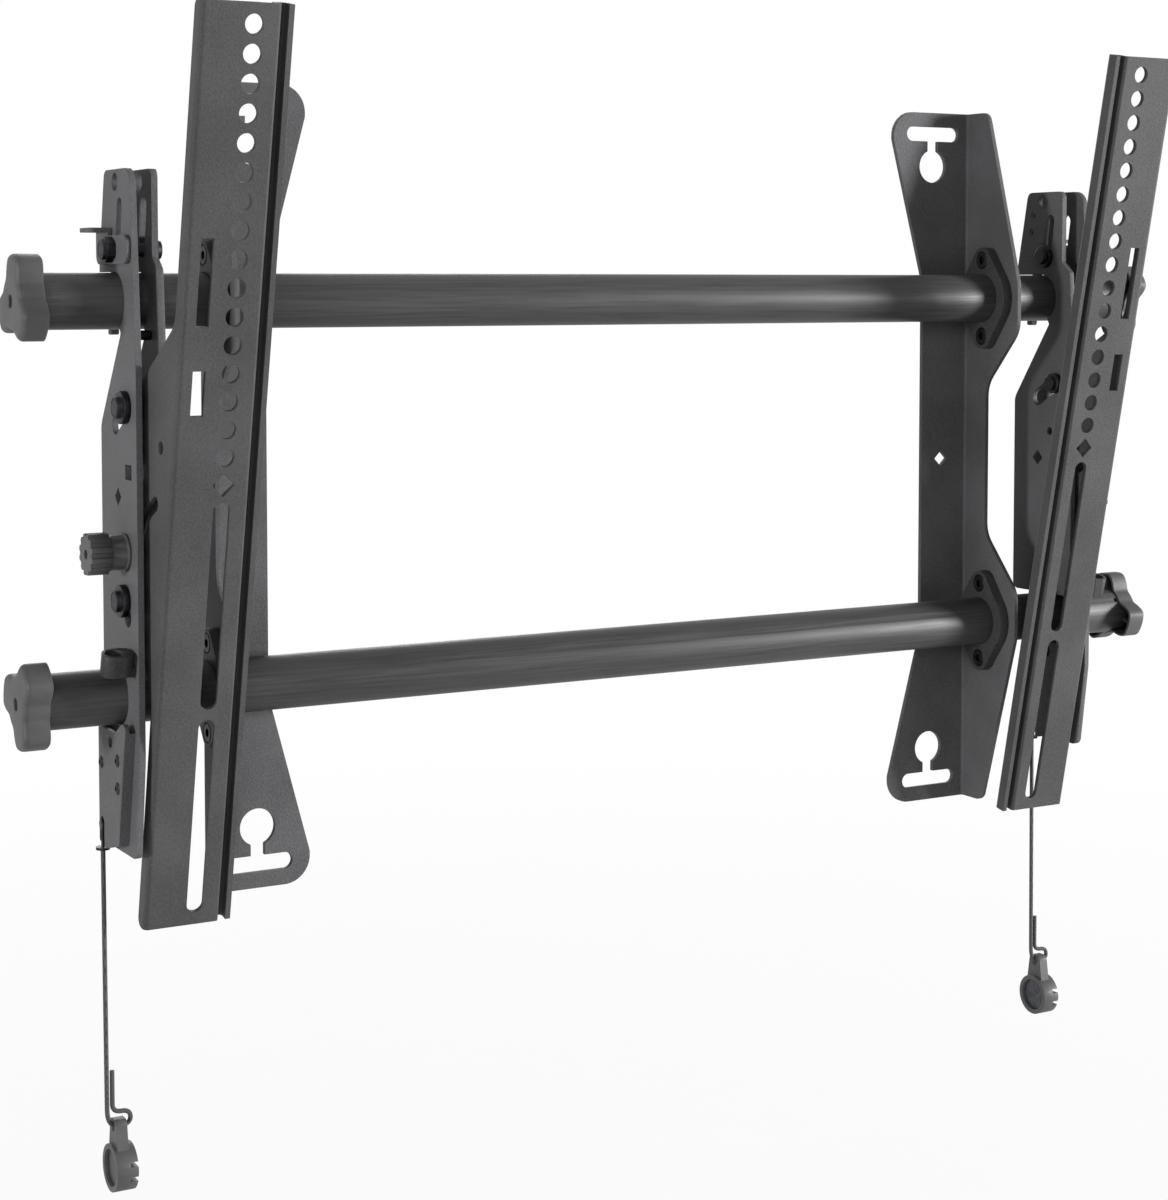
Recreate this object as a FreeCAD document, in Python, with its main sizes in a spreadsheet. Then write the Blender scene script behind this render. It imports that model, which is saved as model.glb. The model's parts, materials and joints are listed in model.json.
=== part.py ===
import FreeCAD, Part
import math
import os
import re

import Sketcher

Vector = FreeCAD.Vector
Rotation = FreeCAD.Rotation

# Driving sizes in millimetres and degrees.
# X runs along the tubes, Y towards the wall (wall face at 0) and Z up from midway between the tubes.
SIZES = {
    # Tubes and their end caps
    "tube_radius": 12.7,
    "tube_wall": 1.6,
    "tube_spacing": 178.2,
    "tube_setback": 23.0,
    "frame_width": 644.0,
    "cap_face": 2.5,
    "cap_depth": 9.5,
    "cap_wall": 1.2,
    "cap_fit": 0.1,
    "cap_reach": 21.0,
    "cap_lobe_angle": 23.0,
    "cap_corner": 2.0,
    "cap_rim": 0.8,
    "cap_rib": 1.4,
    "cap_hole_radius": 2.9,
    "cap_turn_upper_left": 82.0,
    "cap_turn_lower_left": 48.5,
    "cap_turn_upper_right": 140.0,
    "cap_turn_lower_right": 80.0,
    "pin_hole_radius": 1.2,
    "pin_hole_inset": 13.5,
    "pin_hole_lift": 6.7,
    # Wall uprights
    "frame_sheet": 2.5,
    "frame_bend": 1.4,
    "foot_width": 30.3,
    "toe_width": 51.0,
    "toe_straight": 15.0,
    "toe_slope": 77.0,
    "toe_round": 13.0,
    "stud_spacing": 400.0,
    "key_spacing": 323.2,
    "key_inset": 24.2,
    "key_end": 29.4,
    "key_radius": 8.9,
    "key_neck": 3.5,
    "key_slot_rise": 17.7,
    "key_slot_length": 35.2,
    "key_slot_height": 7.9,
    "wall_diamond": 4.2,
    "wall_diamond_inset": 7.2,
    "wing_top": 19.5,
    "wing_round": 6.0,
    "wing_waist": 20.0,
    "hump_reach": 23.6,
    "hump_above": 8.0,
    "hump_below": 18.0,
    "waist_drop": 48.0,
    "hump_round": 16.0,
    # Collars that clamp the tubes to the uprights
    "collar_fit": 0.1,
    "collar_depth": 6.0,
    "collar_hub": 19.0,
    "collar_ear": 6.9,
    "collar_pitch": 20.8,
    "screw_radius": 2.5,
    "screw_head": 4.6,
    "screw_head_depth": 3.4,
    "screw_fit": 0.2,
    "screw_socket": 1.9,
    # Hook plates
    "hanger_inset": 61.9,
    "plate_sheet": 3.0,
    "plate_gap": 8.4,
    "hook_gap": 0.3,
    "hook_rise": 58.8,
    "plate_front": 50.2,
    "brow_drop": 29.1,
    "top_front": 44.3,
    "top_back": 9.8,
    "plate_back": 2.0,
    "tip_rise": 16.9,
    "mouth_drop": 56.1,
    "mouth_reach": 7.5,
    "mouth_lip": 14.5,
    "lip_round": 1.0,
    "plate_drop": 70.9,
    "skirt_back": 8.0,
    "chin_drop": 26.0,
    "chin_front": 44.2,
    "inner_front": 40.7,
    "inner_step": 19.7,
    "step_fall": 5.6,
    "inner_gap": 0.9,
    "inner_tip": 1.4,
    "plate_round": 4.0,
    "top_hole_radius": 4.0,
    "top_hole_back": 24.3,
    "top_hole_drop": 5.7,
    "dimple_back": 16.2,
    "dimple_rise": 45.7,
    "dimple_pitch": 9.3,
    "dimple_radius": 2.1,
    "dimple_depth": 0.8,
    "dimple_eye": 0.9,
    "plate_port_back": 34.6,
    "plate_port_width": 8.7,
    "plate_port_base": 9.8,
    "plate_port_height": 6.7,
    "plate_diamond": 4.2,
    "outer_diamond_back": 24.7,
    "outer_diamond_rise": 1.4,
    "inner_diamond_back": 22.0,
    "inner_dot_back": 31.9,
    "inner_dot_rise": 15.2,
    "inner_dot_radius": 2.2,
    "spacer_radius": 2.2,
    "top_spacer_front": 38.0,
    "top_spacer_drop": 15.1,
    "middle_spacer_edge": 4.5,
    "middle_spacer_drop": 13.0,
    "bottom_spacer_edge": 7.0,
    "bottom_spacer_lift": 21.0,
    # Tilt linkage
    "pivot_reach": 70.7,
    "pivot_drop": 35.7,
    "tilt_angle": 11.685,
    "face_lead": 1.9,
    "pivot_below": 45.25,
    "upper_arm": 84.7,
    "upper_angle": 66.55,
    "lower_arm": 37.9,
    "lower_angle": 13.7,
    "knob_arm": 38.4,
    "knob_angle": 19.6,
    "knob_slot_end": 58.0,
    "bolt_radius": 4.0,
    "bolt_fit": 0.05,
    "slot_gap": 0.4,
    "bolt_head": 7.4,
    "bolt_head_depth": 3.0,
    "bolt_crown": 4.9,
    "bolt_crown_depth": 2.2,
    "button_radius": 5.6,
    "button_crown": 4.0,
    "washer_radius": 7.0,
    "run_gap": 0.3,
    # Display rails
    "rail_sheet": 2.5,
    "rail_bend": 1.5,
    "rail_width": 35.75,
    "rail_top": 209.0,
    "rail_bottom": 208.0,
    "hem_groove": 3.4,
    "hem_depth": 8.2,
    "hem_lip": 0.6,
    "flange_depth": 8.0,
    "flange_reach": 54.0,
    "flange_round": 4.0,
    "arm_round": 8.0,
    "arm_hole_depth": 16.0,
    "arm_hole_rise": 13.4,
    "arm_hole_radius": 3.0,
    "arm_top": 70.0,
    "arm_shoulder": 28.0,
    "arm_heel": 20.0,
    "arm_toe_reach": 42.0,
    "arm_toe": 74.0,
    "arm_bottom": 96.0,
    "rail_hole_inset": 23.85,
    "rail_hole_radius": 4.25,
    "rail_hole_pitch": 12.5,
    "rail_hole_count": 16.0,
    "rail_diamond": 5.3,
    "rail_slot_radius": 4.0,
    "slot_first": 8.0,
    "slot_split": 106.5,
    "slot_bridge": 5.0,
    "slot_last": 202.0,
    "window_inset": 6.5,
    "window_width": 5.9,
    "window_low": 70.7,
    "window_high": 109.1,
    "port_low": 31.3,
    "port_high": 51.3,
    # Tilt knob
    "stud_radius": 3.0,
    "stud_head": 5.75,
    "stud_head_depth": 1.4,
    "knob_collar_radius": 7.75,
    "knob_collar_length": 8.5,
    "knob_foot_depth": 1.5,
    "knob_foot_lip": 0.8,
    "knob_radius": 9.4,
    "knob_length": 9.6,
    "knob_flute": 1.3,
    "knob_flute_count": 12.0,
    "knob_socket": 2.4,
    "knob_socket_depth": 3.0,
    "knob_web": 1.0,
    # Tube lock
    "lock_lean": 9.0,
    "lock_back": 27.5,
    "lock_rise": 22.9,
    "lock_travel": 20.0,
    "lock_bolt_radius": 3.0,
    "lock_slide_sheet": 4.0,
    "lock_lip_drop": 15.4,
    "lock_lip_gap": 0.1,
    "lock_hip_gap": 1.6,
    "lock_rear_gap": 1.0,
    "lock_half": 4.8,
    "lock_round": 1.2,
    "lock_head": 6.2,
    "lock_head_depth": 3.0,
    "lock_crown": 4.2,
    "lock_crown_depth": 2.0,
    "lock_nut_radius": 5.8,
    "lock_nut_depth": 3.6,
    "lock_neck_radius": 4.6,
    "lock_neck_depth": 2.0,
    "tab_sheet": 2.0,
    "tab_back": 4.5,
    "tab_front": 46.0,
    "tab_half": 6.4,
    "tab_rise": 9.9,
    "tab_round": 4.0,
    "tab_finger": 10.0,
    "tab_finger_front": 21.0,
    # Padlock eye
    "eye_front": 43.7,
    "eye_above": 18.2,
    "eye_reach": 9.5,
    "eye_tilt": 15.0,
    "eye_gap": 0.2,
    "eye_stem": 3.0,
    "eye_stem_length": 4.8,
    "eye_stem_drop": 3.8,
    "eye_radius": 5.4,
    "eye_hole": 3.9,
    "eye_height": 10.0,
    # Latch under the lower tube
    "latch_gap": 2.8,
    "pawl_sheet": 2.2,
    "latch_cover_sheet": 2.0,
    "latch_travel": 12.0,
    "latch_top": 15.4,
    "latch_step_front": 31.0,
    "latch_nose": 9.6,
    "latch_nose_front": 40.8,
    "latch_brow": 10.6,
    "latch_front": 46.0,
    "latch_toe": 35.3,
    "latch_toe_lift": 4.6,
    "latch_bottom": 70.4,
    "latch_heel_lift": 2.0,
    "latch_back": 7.8,
    "latch_wall": 1.8,
    "latch_round": 1.5,
    "cover_eye_front": 24.3,
    "cover_eye_drop": 20.6,
    "cover_eye_radius": 2.6,
    "rivet_radius": 2.2,
    "rivet_head": 3.8,
    "rivet_head_depth": 0.9,
    "rear_rivet_edge": 3.6,
    "rear_rivet_drop": 31.7,
    "front_rivet_front": 33.9,
    "front_rivet_drop": 27.4,
    "front_rivet_pitch": 12.5,
    "pull_back": 11.8,
    "pull_pin_drop": 60.5,
    "pull_pin_radius": 1.5,
    "pull_pin_end": 1.0,
    "key_half": 2.9,
    "pawl_tip": 2.0,
    "pawl_nose": 6.5,
    "pawl_gap": 4.0,
    "pawl_knee_drop": 46.0,
    "pawl_hip_drop": 51.0,
    "pawl_tail_half": 3.6,
    "pawl_tail_end": 4.5,
    "spring_front": 25.0,
    "spring_drop": 40.9,
    "spring_length": 18.0,
    "spring_radius": 0.85,
    "spring_wire": 0.3,
    "spring_turns": 8.0,
    "spring_gap": 0.1,
    "spring_slot_half": 1.7,
    "seat_half": 1.3,
    # Pull cord and pull
    "cord_radius": 1.1,
    "ferrule_radius": 3.2,
    "ferrule_inset": 0.2,
    "ferrule_drop": 1.6,
    "ferrule_flange": 1.3,
    "ferrule_stem": 0.8,
    "ferrule_half": 0.9,
    "ferrule_ring": 1.0,
    "pull_drop": 19.0,
    "pull_neck": 5.3,
    "pull_neck_inset": 3.0,
    "pull_neck_half": 4.0,
    "pull_neck_rise": 3.8,
    "pull_neck_round": 3.0,
    "pull_hip_half": 7.5,
    "pull_cup_radius": 11.0,
    "pull_cup_depth": 10.0,
    "pull_cup_lead": 1.6,
    "pull_eye_hole": 2.0,
    "grip_pitch": 6.8,
    "grip_width": 2.2,
    "grip_depth": 3.6,
    "magnet_radius": 8.4,
    "magnet_fit": 0.1,
    "magnet_depth": 3.0,
    "magnet_sink": 1.4,
}

# Places that many pieces share, as expressions of the driving sizes.
SIDE_X = "(stud_spacing / 2 + key_inset)"
UPRIGHT_HALF = "(key_spacing / 2 + key_end)"
PLATE_IN = "(frame_width / 2 - hanger_inset)"
GAP_IN = f"({PLATE_IN} + plate_sheet)"
GAP_OUT = f"({GAP_IN} + plate_gap)"
PLATE_OUT = f"({GAP_OUT} + plate_sheet)"
RAIL_MID = f"({GAP_IN} + plate_gap / 2)"
TUBE_Y = "(-tube_setback)"
TUBE_Z = "(tube_spacing / 2)"
PIVOT_Y = "(-pivot_reach)"
PIVOT_Z = "(-pivot_drop)"
KNOB_Y = f"({PIVOT_Y} + knob_arm * cos(knob_angle))"
KNOB_Z = f"({PIVOT_Z} + knob_arm * sin(knob_angle))"
LOCK_Y = "(-lock_back)"
LOCK_Z = f"({TUBE_Z} + lock_rise)"
COVER_IN = f"({PLATE_OUT} + latch_gap)"
COVER_OUT = f"({COVER_IN} + latch_cover_sheet)"
PAWL_IN = f"({PLATE_OUT} + (latch_gap - pawl_sheet) / 2)"
PAWL_OUT = f"({PAWL_IN} + pawl_sheet)"
LATCH_Z = f"(-{TUBE_Z})"
SPRING_LOW = f"({LATCH_Z} - spring_drop)"
SPRING_HIGH = f"({SPRING_LOW} + spring_length)"
PAWL_FRONT = "(-front_rivet_front + rivet_radius + slot_gap)"
FERRULE_X = f"({COVER_OUT} - ferrule_inset)"
CORD_TOP = f"({LATCH_Z} - latch_bottom - ferrule_drop)"

# Two coordinates closer than this belong to the same edge.
SAME = 0.01

doc = FreeCAD.newDocument("tv_mount")
sheet = doc.addObject("Spreadsheet::Sheet", "Dims")
for row, (alias, size) in enumerate(SIZES.items(), start=1):
    sheet.set(f"A{row}", alias)
    sheet.set(f"B{row}", str(size))
    sheet.setAlias(f"B{row}", alias)
doc.recompute()

parts = []


def dim(text):
    """An expression of size names, with each name pointing at its cell."""
    def to_cell(match):
        word = match.group(0)
        return f"Dims.{word}" if word in SIZES else word
    return re.sub(r"[a-z]+(?:_[a-z]+)*", to_cell, str(text))


def value(text):
    """What an expression of size names is worth now."""
    return float(sheet.evalExpression(dim(text)))


def keep(feature, label):
    """Register a finished sub-part under its own name."""
    feature.Label = label
    parts.append(feature)
    return feature


def mirror(feature, label, plane="0"):
    """A sub-part mirrored in an upright plane that crosses the X axis at a given place."""
    twin = doc.addObject("Part::Mirroring", label)
    twin.Source = feature
    twin.Normal = Vector(1, 0, 0)
    twin.setExpression("Base.x", dim(plane))
    return keep(twin, label)


def pair(feature, name):
    """Keep a right-hand sub-part and its mirrored left-hand twin."""
    keep(feature, f"right_{name}")
    mirror(feature, f"left_{name}")


def repeat_left(feature, label):
    """A collar's piece again, on the left face of the left upright, as it is on the right one."""
    twin = group(label, [feature])
    twin.setExpression("Placement.Base.x", dim(f"-(2 * {SIDE_X} + frame_sheet)"))
    return twin


def on_left_faces(feature, name):
    """Two like pieces drawn on a plate's right face, each put on the left face of its own outer plate."""
    mirror(feature, f"right_{name}", f"({GAP_OUT} + {PLATE_OUT}) / 2")
    mirror(feature, f"left_{name}")


# Sketch helpers

def new_body(name):
    return doc.addObject("PartDesign::Body", name)


def new_sketch(body, plane, offset="0"):
    """A sketch on one of the body's own origin planes, moved along its normal."""
    sketch = body.newObject("Sketcher::SketchObject", f"{body.Name}_sketch")
    sketch.AttachmentSupport = next(f for f in body.Origin.OriginFeatures if f.Role == plane)
    sketch.MapMode = "FlatFace"
    sketch.setExpression("AttachmentOffset.Base.z", dim(offset))
    return sketch


def bind(sketch, kind, places, text):
    """Add one dimension to a sketch and bind it to its expression."""
    index = sketch.addConstraint(Sketcher.Constraint(kind, *places, value(text)))
    sketch.setExpression(f"Constraints[{index}]", dim(text))


def bind_point(sketch, geometry, position, u, v):
    bind(sketch, "DistanceX", (-1, 1, geometry, position), u)
    bind(sketch, "DistanceY", (-1, 1, geometry, position), v)


def relate(sketch, kind, *places):
    sketch.addConstraint(Sketcher.Constraint(kind, *places))


def outline(sketch, corners):
    """A closed outline through (u, v) corners; a third entry rounds that corner."""
    points = [Vector(value(c[0]), value(c[1]), 0) for c in corners]
    radii = [value(c[2]) if len(c) > 2 else 0.0 for c in corners]
    count = len(corners)
    arrive, leave, centres = [], [], []
    for i, corner in enumerate(points):
        back = (points[i - 1] - corner).normalize()
        ahead = (points[(i + 1) % count] - corner).normalize()
        half = back.getAngle(ahead) / 2
        cut = radii[i] / math.tan(half)
        arrive.append(corner + back * cut)
        leave.append(corner + ahead * cut)
        middle = back + ahead
        reach = radii[i] / math.sin(half)
        centres.append(corner + middle.normalize() * reach if radii[i] else corner)
    lines = []
    for i in range(count):
        segment = Part.LineSegment(leave[i], arrive[(i + 1) % count])
        lines.append(sketch.addGeometry(segment))
    for i in range(count):
        before, after = lines[i - 1], lines[i]
        if not radii[i]:
            relate(sketch, "Coincident", before, 2, after, 1)
            bind_point(sketch, after, 1, corners[i][0], corners[i][1])
            continue
        spot = sketch.addGeometry(Part.Point(points[i]), True)
        bind_point(sketch, spot, 1, corners[i][0], corners[i][1])
        relate(sketch, "PointOnObject", spot, 1, before)
        relate(sketch, "PointOnObject", spot, 1, after)
        add_corner_arc(sketch, before, after, centres[i], arrive[i], leave[i], corners[i][2])


def add_corner_arc(sketch, before, after, centre, start, end, radius):
    """The tangent arc of a rounded corner between two lines."""
    first = math.atan2(start.y - centre.y, start.x - centre.x)
    last = math.atan2(end.y - centre.y, end.x - centre.x)
    turns_left = ((last - first) % (2 * math.pi)) < math.pi
    angles = (first, last) if turns_left else (last, first)
    circle = Part.Circle(centre, Vector(0, 0, 1), value(radius))
    arc = sketch.addGeometry(Part.ArcOfCircle(circle, *angles))
    relate(sketch, "Tangent", before, 2, arc, 1 if turns_left else 2)
    relate(sketch, "Tangent", after, 1, arc, 2 if turns_left else 1)
    bind(sketch, "Radius", (arc,), radius)


def circle(sketch, u, v, radius):
    ring = Part.Circle(Vector(value(u), value(v), 0), Vector(0, 0, 1), value(radius))
    index = sketch.addGeometry(ring)
    bind_point(sketch, index, 3, u, v)
    bind(sketch, "Radius", (index,), radius)


def diamond(sketch, u, v, half):
    """A square that stands on its corner."""
    outline(sketch, [(f"{u} - {half}", v), (u, f"{v} - {half}"), (f"{u} + {half}", v), (u, f"{v} + {half}")])


def stadium(sketch, start, end, radius):
    """A straight slot with round ends, from one end's centre to the other's."""
    first = Vector(value(start[0]), value(start[1]), 0)
    last = Vector(value(end[0]), value(end[1]), 0)
    along = (last - first).normalize()
    heading = math.atan2(along.y, along.x)
    side = Vector(-along.y, along.x, 0) * value(radius)
    quarter = math.pi / 2
    near = Part.ArcOfCircle(Part.Circle(first, Vector(0, 0, 1), value(radius)),
                            heading + quarter, heading + 3 * quarter)
    far = Part.ArcOfCircle(Part.Circle(last, Vector(0, 0, 1), value(radius)),
                           heading - quarter, heading + quarter)
    near = sketch.addGeometry(near)
    far = sketch.addGeometry(far)
    lower = sketch.addGeometry(Part.LineSegment(first - side, last - side))
    upper = sketch.addGeometry(Part.LineSegment(last + side, first + side))
    relate(sketch, "Tangent", near, 2, lower, 1)
    relate(sketch, "Tangent", lower, 2, far, 1)
    relate(sketch, "Tangent", far, 2, upper, 1)
    relate(sketch, "Tangent", upper, 2, near, 1)
    bind_point(sketch, near, 3, *start)
    bind_point(sketch, far, 3, *end)
    bind(sketch, "Radius", (near,), radius)


def arc_slot(sketch, centre, arm, first, last, radius):
    """A slot with round ends that follows an arc about a centre, from one angle to a larger one."""
    hub = Vector(value(centre[0]), value(centre[1]), 0)
    reach, half = value(arm), value(radius)
    start, end = math.radians(value(first)), math.radians(value(last))
    normal = Vector(0, 0, 1)

    def place(angle):
        return hub + Vector(math.cos(angle), math.sin(angle), 0) * reach

    outer = sketch.addGeometry(Part.ArcOfCircle(Part.Circle(hub, normal, reach + half), start, end))
    inner = sketch.addGeometry(Part.ArcOfCircle(Part.Circle(hub, normal, reach - half), start, end))
    near = sketch.addGeometry(Part.ArcOfCircle(Part.Circle(place(start), normal, half),
                                               start + math.pi, start + 2 * math.pi))
    far = sketch.addGeometry(Part.ArcOfCircle(Part.Circle(place(end), normal, half),
                                              end, end + math.pi))
    relate(sketch, "Tangent", near, 2, outer, 1)
    relate(sketch, "Tangent", outer, 2, far, 1)
    relate(sketch, "Tangent", inner, 1, near, 1)
    relate(sketch, "Coincident", far, 2, inner, 2)
    relate(sketch, "Coincident", inner, 3, outer, 3)
    bind_point(sketch, outer, 3, *centre)
    bind_point(sketch, near, 3, f"{centre[0]} + {arm} * cos({first})", f"{centre[1]} + {arm} * sin({first})")
    if abs(math.cos((start + end) / 2)) > abs(math.sin((start + end) / 2)):
        bind(sketch, "DistanceY", (-1, 1, far, 3), f"{centre[1]} + {arm} * sin({last})")
    else:
        bind(sketch, "DistanceX", (-1, 1, far, 3), f"{centre[0]} + {arm} * cos({last})")
    bind(sketch, "Radius", (near,), radius)


# Feature helpers

def pad(body, sketch, length, midplane=False, flip=False):
    feature = body.newObject("PartDesign::Pad", f"{body.Name}_pad")
    feature.Profile = sketch
    feature.setExpression("Length", dim(length))
    feature.Midplane = midplane
    feature.Reversed = flip
    return feature


def cut_through(body, sketch):
    """A pocket through everything on both sides of its sketch."""
    feature = body.newObject("PartDesign::Pocket", f"{body.Name}_pocket")
    feature.Profile = sketch
    feature.Type = "ThroughAll"
    feature.Midplane = True
    return feature


def cut_blind(body, sketch, depth, flip=False):
    feature = body.newObject("PartDesign::Pocket", f"{body.Name}_recess")
    feature.Profile = sketch
    feature.setExpression("Length", dim(depth))
    feature.Reversed = flip
    return feature


def round_edges(body, radius, chosen):
    """A fillet on the edges of the body's last feature that a test picks."""
    doc.recompute()
    base = body.Tip
    names = [f"Edge{i}" for i, edge in enumerate(base.Shape.Edges, start=1) if chosen(edge)]
    feature = body.newObject("PartDesign::Fillet", f"{body.Name}_fillet")
    feature.Base = (base, names)
    feature.setExpression("Radius", dim(radius))
    return feature


def rod(name, start, end, y, z, radius):
    """A cylinder along X."""
    feature = doc.addObject("Part::Cylinder", name)
    feature.setExpression("Radius", dim(radius))
    feature.setExpression("Height", dim(f"{end} - {start}"))
    feature.Placement = FreeCAD.Placement(Vector(), Rotation(Vector(0, 1, 0), 90))
    for axis, text in zip("xyz", (start, y, z)):
        feature.setExpression(f"Placement.Base.{axis}", dim(text))
    return feature


def upright_rod(name, x, y, bottom, top, radius):
    """A cylinder along Z."""
    feature = doc.addObject("Part::Cylinder", name)
    feature.setExpression("Radius", dim(radius))
    feature.setExpression("Height", dim(f"{top} - {bottom}"))
    for axis, text in zip("xyz", (x, y, bottom)):
        feature.setExpression(f"Placement.Base.{axis}", dim(text))
    return feature


def hexagon(name, start, end, y, z, radius):
    """A hexagonal prism along X."""
    feature = doc.addObject("Part::Prism", name)
    feature.Polygon = 6
    feature.setExpression("Circumradius", dim(radius))
    feature.setExpression("Height", dim(f"{end} - {start}"))
    feature.Placement = FreeCAD.Placement(Vector(), Rotation(Vector(0, 1, 0), 90))
    for axis, text in zip("xyz", (start, y, z)):
        feature.setExpression(f"Placement.Base.{axis}", dim(text))
    return feature


def fuse(name, *features):
    joined = doc.addObject("Part::MultiFuse", name)
    joined.Shapes = list(features)
    joined.Refine = True
    return joined


def cut(name, base, tool):
    feature = doc.addObject("Part::Cut", name)
    feature.Base = base
    feature.Tool = tool
    return feature


def group(name, features):
    """Like pieces that share one sub-part as separate solids."""
    bundle = doc.addObject("Part::Compound", name)
    bundle.Links = list(features)
    return bundle


# Wall frame

def make_tube(name, z, pinned=False):
    """A hollow cross tube; a pinned one has a small hole beside its right-hand cap."""
    body = new_body(name)
    section = new_sketch(body, "YZ_Plane")
    circle(section, TUBE_Y, z, "tube_radius")
    circle(section, TUBE_Y, z, "tube_radius - tube_wall")
    pad(body, section, "frame_width - 2 * cap_face", midplane=True)
    if pinned:
        hole = new_sketch(body, "XZ_Plane", "tube_setback")
        circle(hole, "frame_width / 2 - pin_hole_inset", f"{z} + pin_hole_lift", "pin_hole_radius")
        cut_blind(body, hole, "tube_radius", flip=True)
    keep(body, name)


def lobed_outline(sketch, reach, waist):
    """Three wide lobes on arcs about the centre, joined by hollow flanks."""
    half_flank = "(60 - cap_lobe_angle)"
    chord = f"{reach} * sin({half_flank})"
    dip = f"({reach} * cos({half_flank}) - {waist})"
    flank = f"(({chord}) ^ 2 + {dip} ^ 2) / (2 * {dip})"
    ends = []
    for lobe in range(3):
        for sign in "-+":
            angle = f"({120 * lobe} {sign} cap_lobe_angle)"
            ends.append((f"{reach} * cos({angle})", f"{reach} * sin({angle})"))
    points = [Vector(value(u), value(v), 0) for u, v in ends]
    edges = []
    for i in range(6):
        first, last = points[i], points[(i + 1) % 6]
        middle = (first + last).normalize() * value(reach if i % 2 == 0 else waist)
        edges.append(sketch.addGeometry(Part.Arc(first, middle, last)))
    for i in range(6):
        tip = i % 2 == 0
        bind(sketch, "Radius", (edges[i],), reach if tip else flank)
        start = 1 if tip else 2
        bind_point(sketch, edges[i], start, *ends[i])
        relate(sketch, "Coincident", edges[i], start, edges[i - 1], 1 if tip else 2)


def make_cap(label, x, z, heading, turn):
    """A three-lobed end cap: a face, a skirt and a rib behind each lobe."""
    body = new_body(label)
    outside = new_sketch(body, "YZ_Plane")
    lobed_outline(outside, "cap_reach", "(tube_radius + cap_fit + cap_wall)")
    pad(body, outside, "cap_depth + cap_face", flip=True)
    round_edges(body, "cap_corner", lambda e: e.BoundBox.XLength > value("cap_depth"))
    round_edges(body, "cap_rim", lambda e: e.BoundBox.XLength < SAME and abs(e.BoundBox.XMin) < SAME)
    hollow = new_sketch(body, "YZ_Plane", "-cap_face")
    lobed_outline(hollow, "(cap_reach - cap_wall)", "(tube_radius + cap_fit)")
    cut_blind(body, hollow, "cap_depth")
    for lobe in range(3):
        rib = new_sketch(body, "YZ_Plane", "-cap_face")
        along, across = f"cos({120 * lobe})", f"sin({120 * lobe})"
        corners = []
        for reach, side in (("in", -1), ("out", -1), ("out", 1), ("in", 1)):
            far = "(tube_radius + cap_fit)" if reach == "in" else "(cap_reach - cap_wall / 2)"
            step = f"{side} * cap_rib / 2"
            corners.append((f"{far} * {along} - {step} * {across}", f"{far} * {across} + {step} * {along}"))
        outline(rib, corners)
        pad(body, rib, "cap_depth - cap_face", flip=True)
    hole = new_sketch(body, "YZ_Plane")
    circle(hole, "0", "0", "cap_hole_radius")
    cut_through(body, hole)
    spin = Rotation(Vector(1, 0, 0), value(turn))
    facing = Rotation(Vector(0, 0, 1), heading)
    body.Placement = FreeCAD.Placement(Vector(), facing.multiply(spin))
    for axis, text in zip("xyz", (x, TUBE_Y, z)):
        body.setExpression(f"Placement.Base.{axis}", dim(text))
    keep(body, label)


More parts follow.
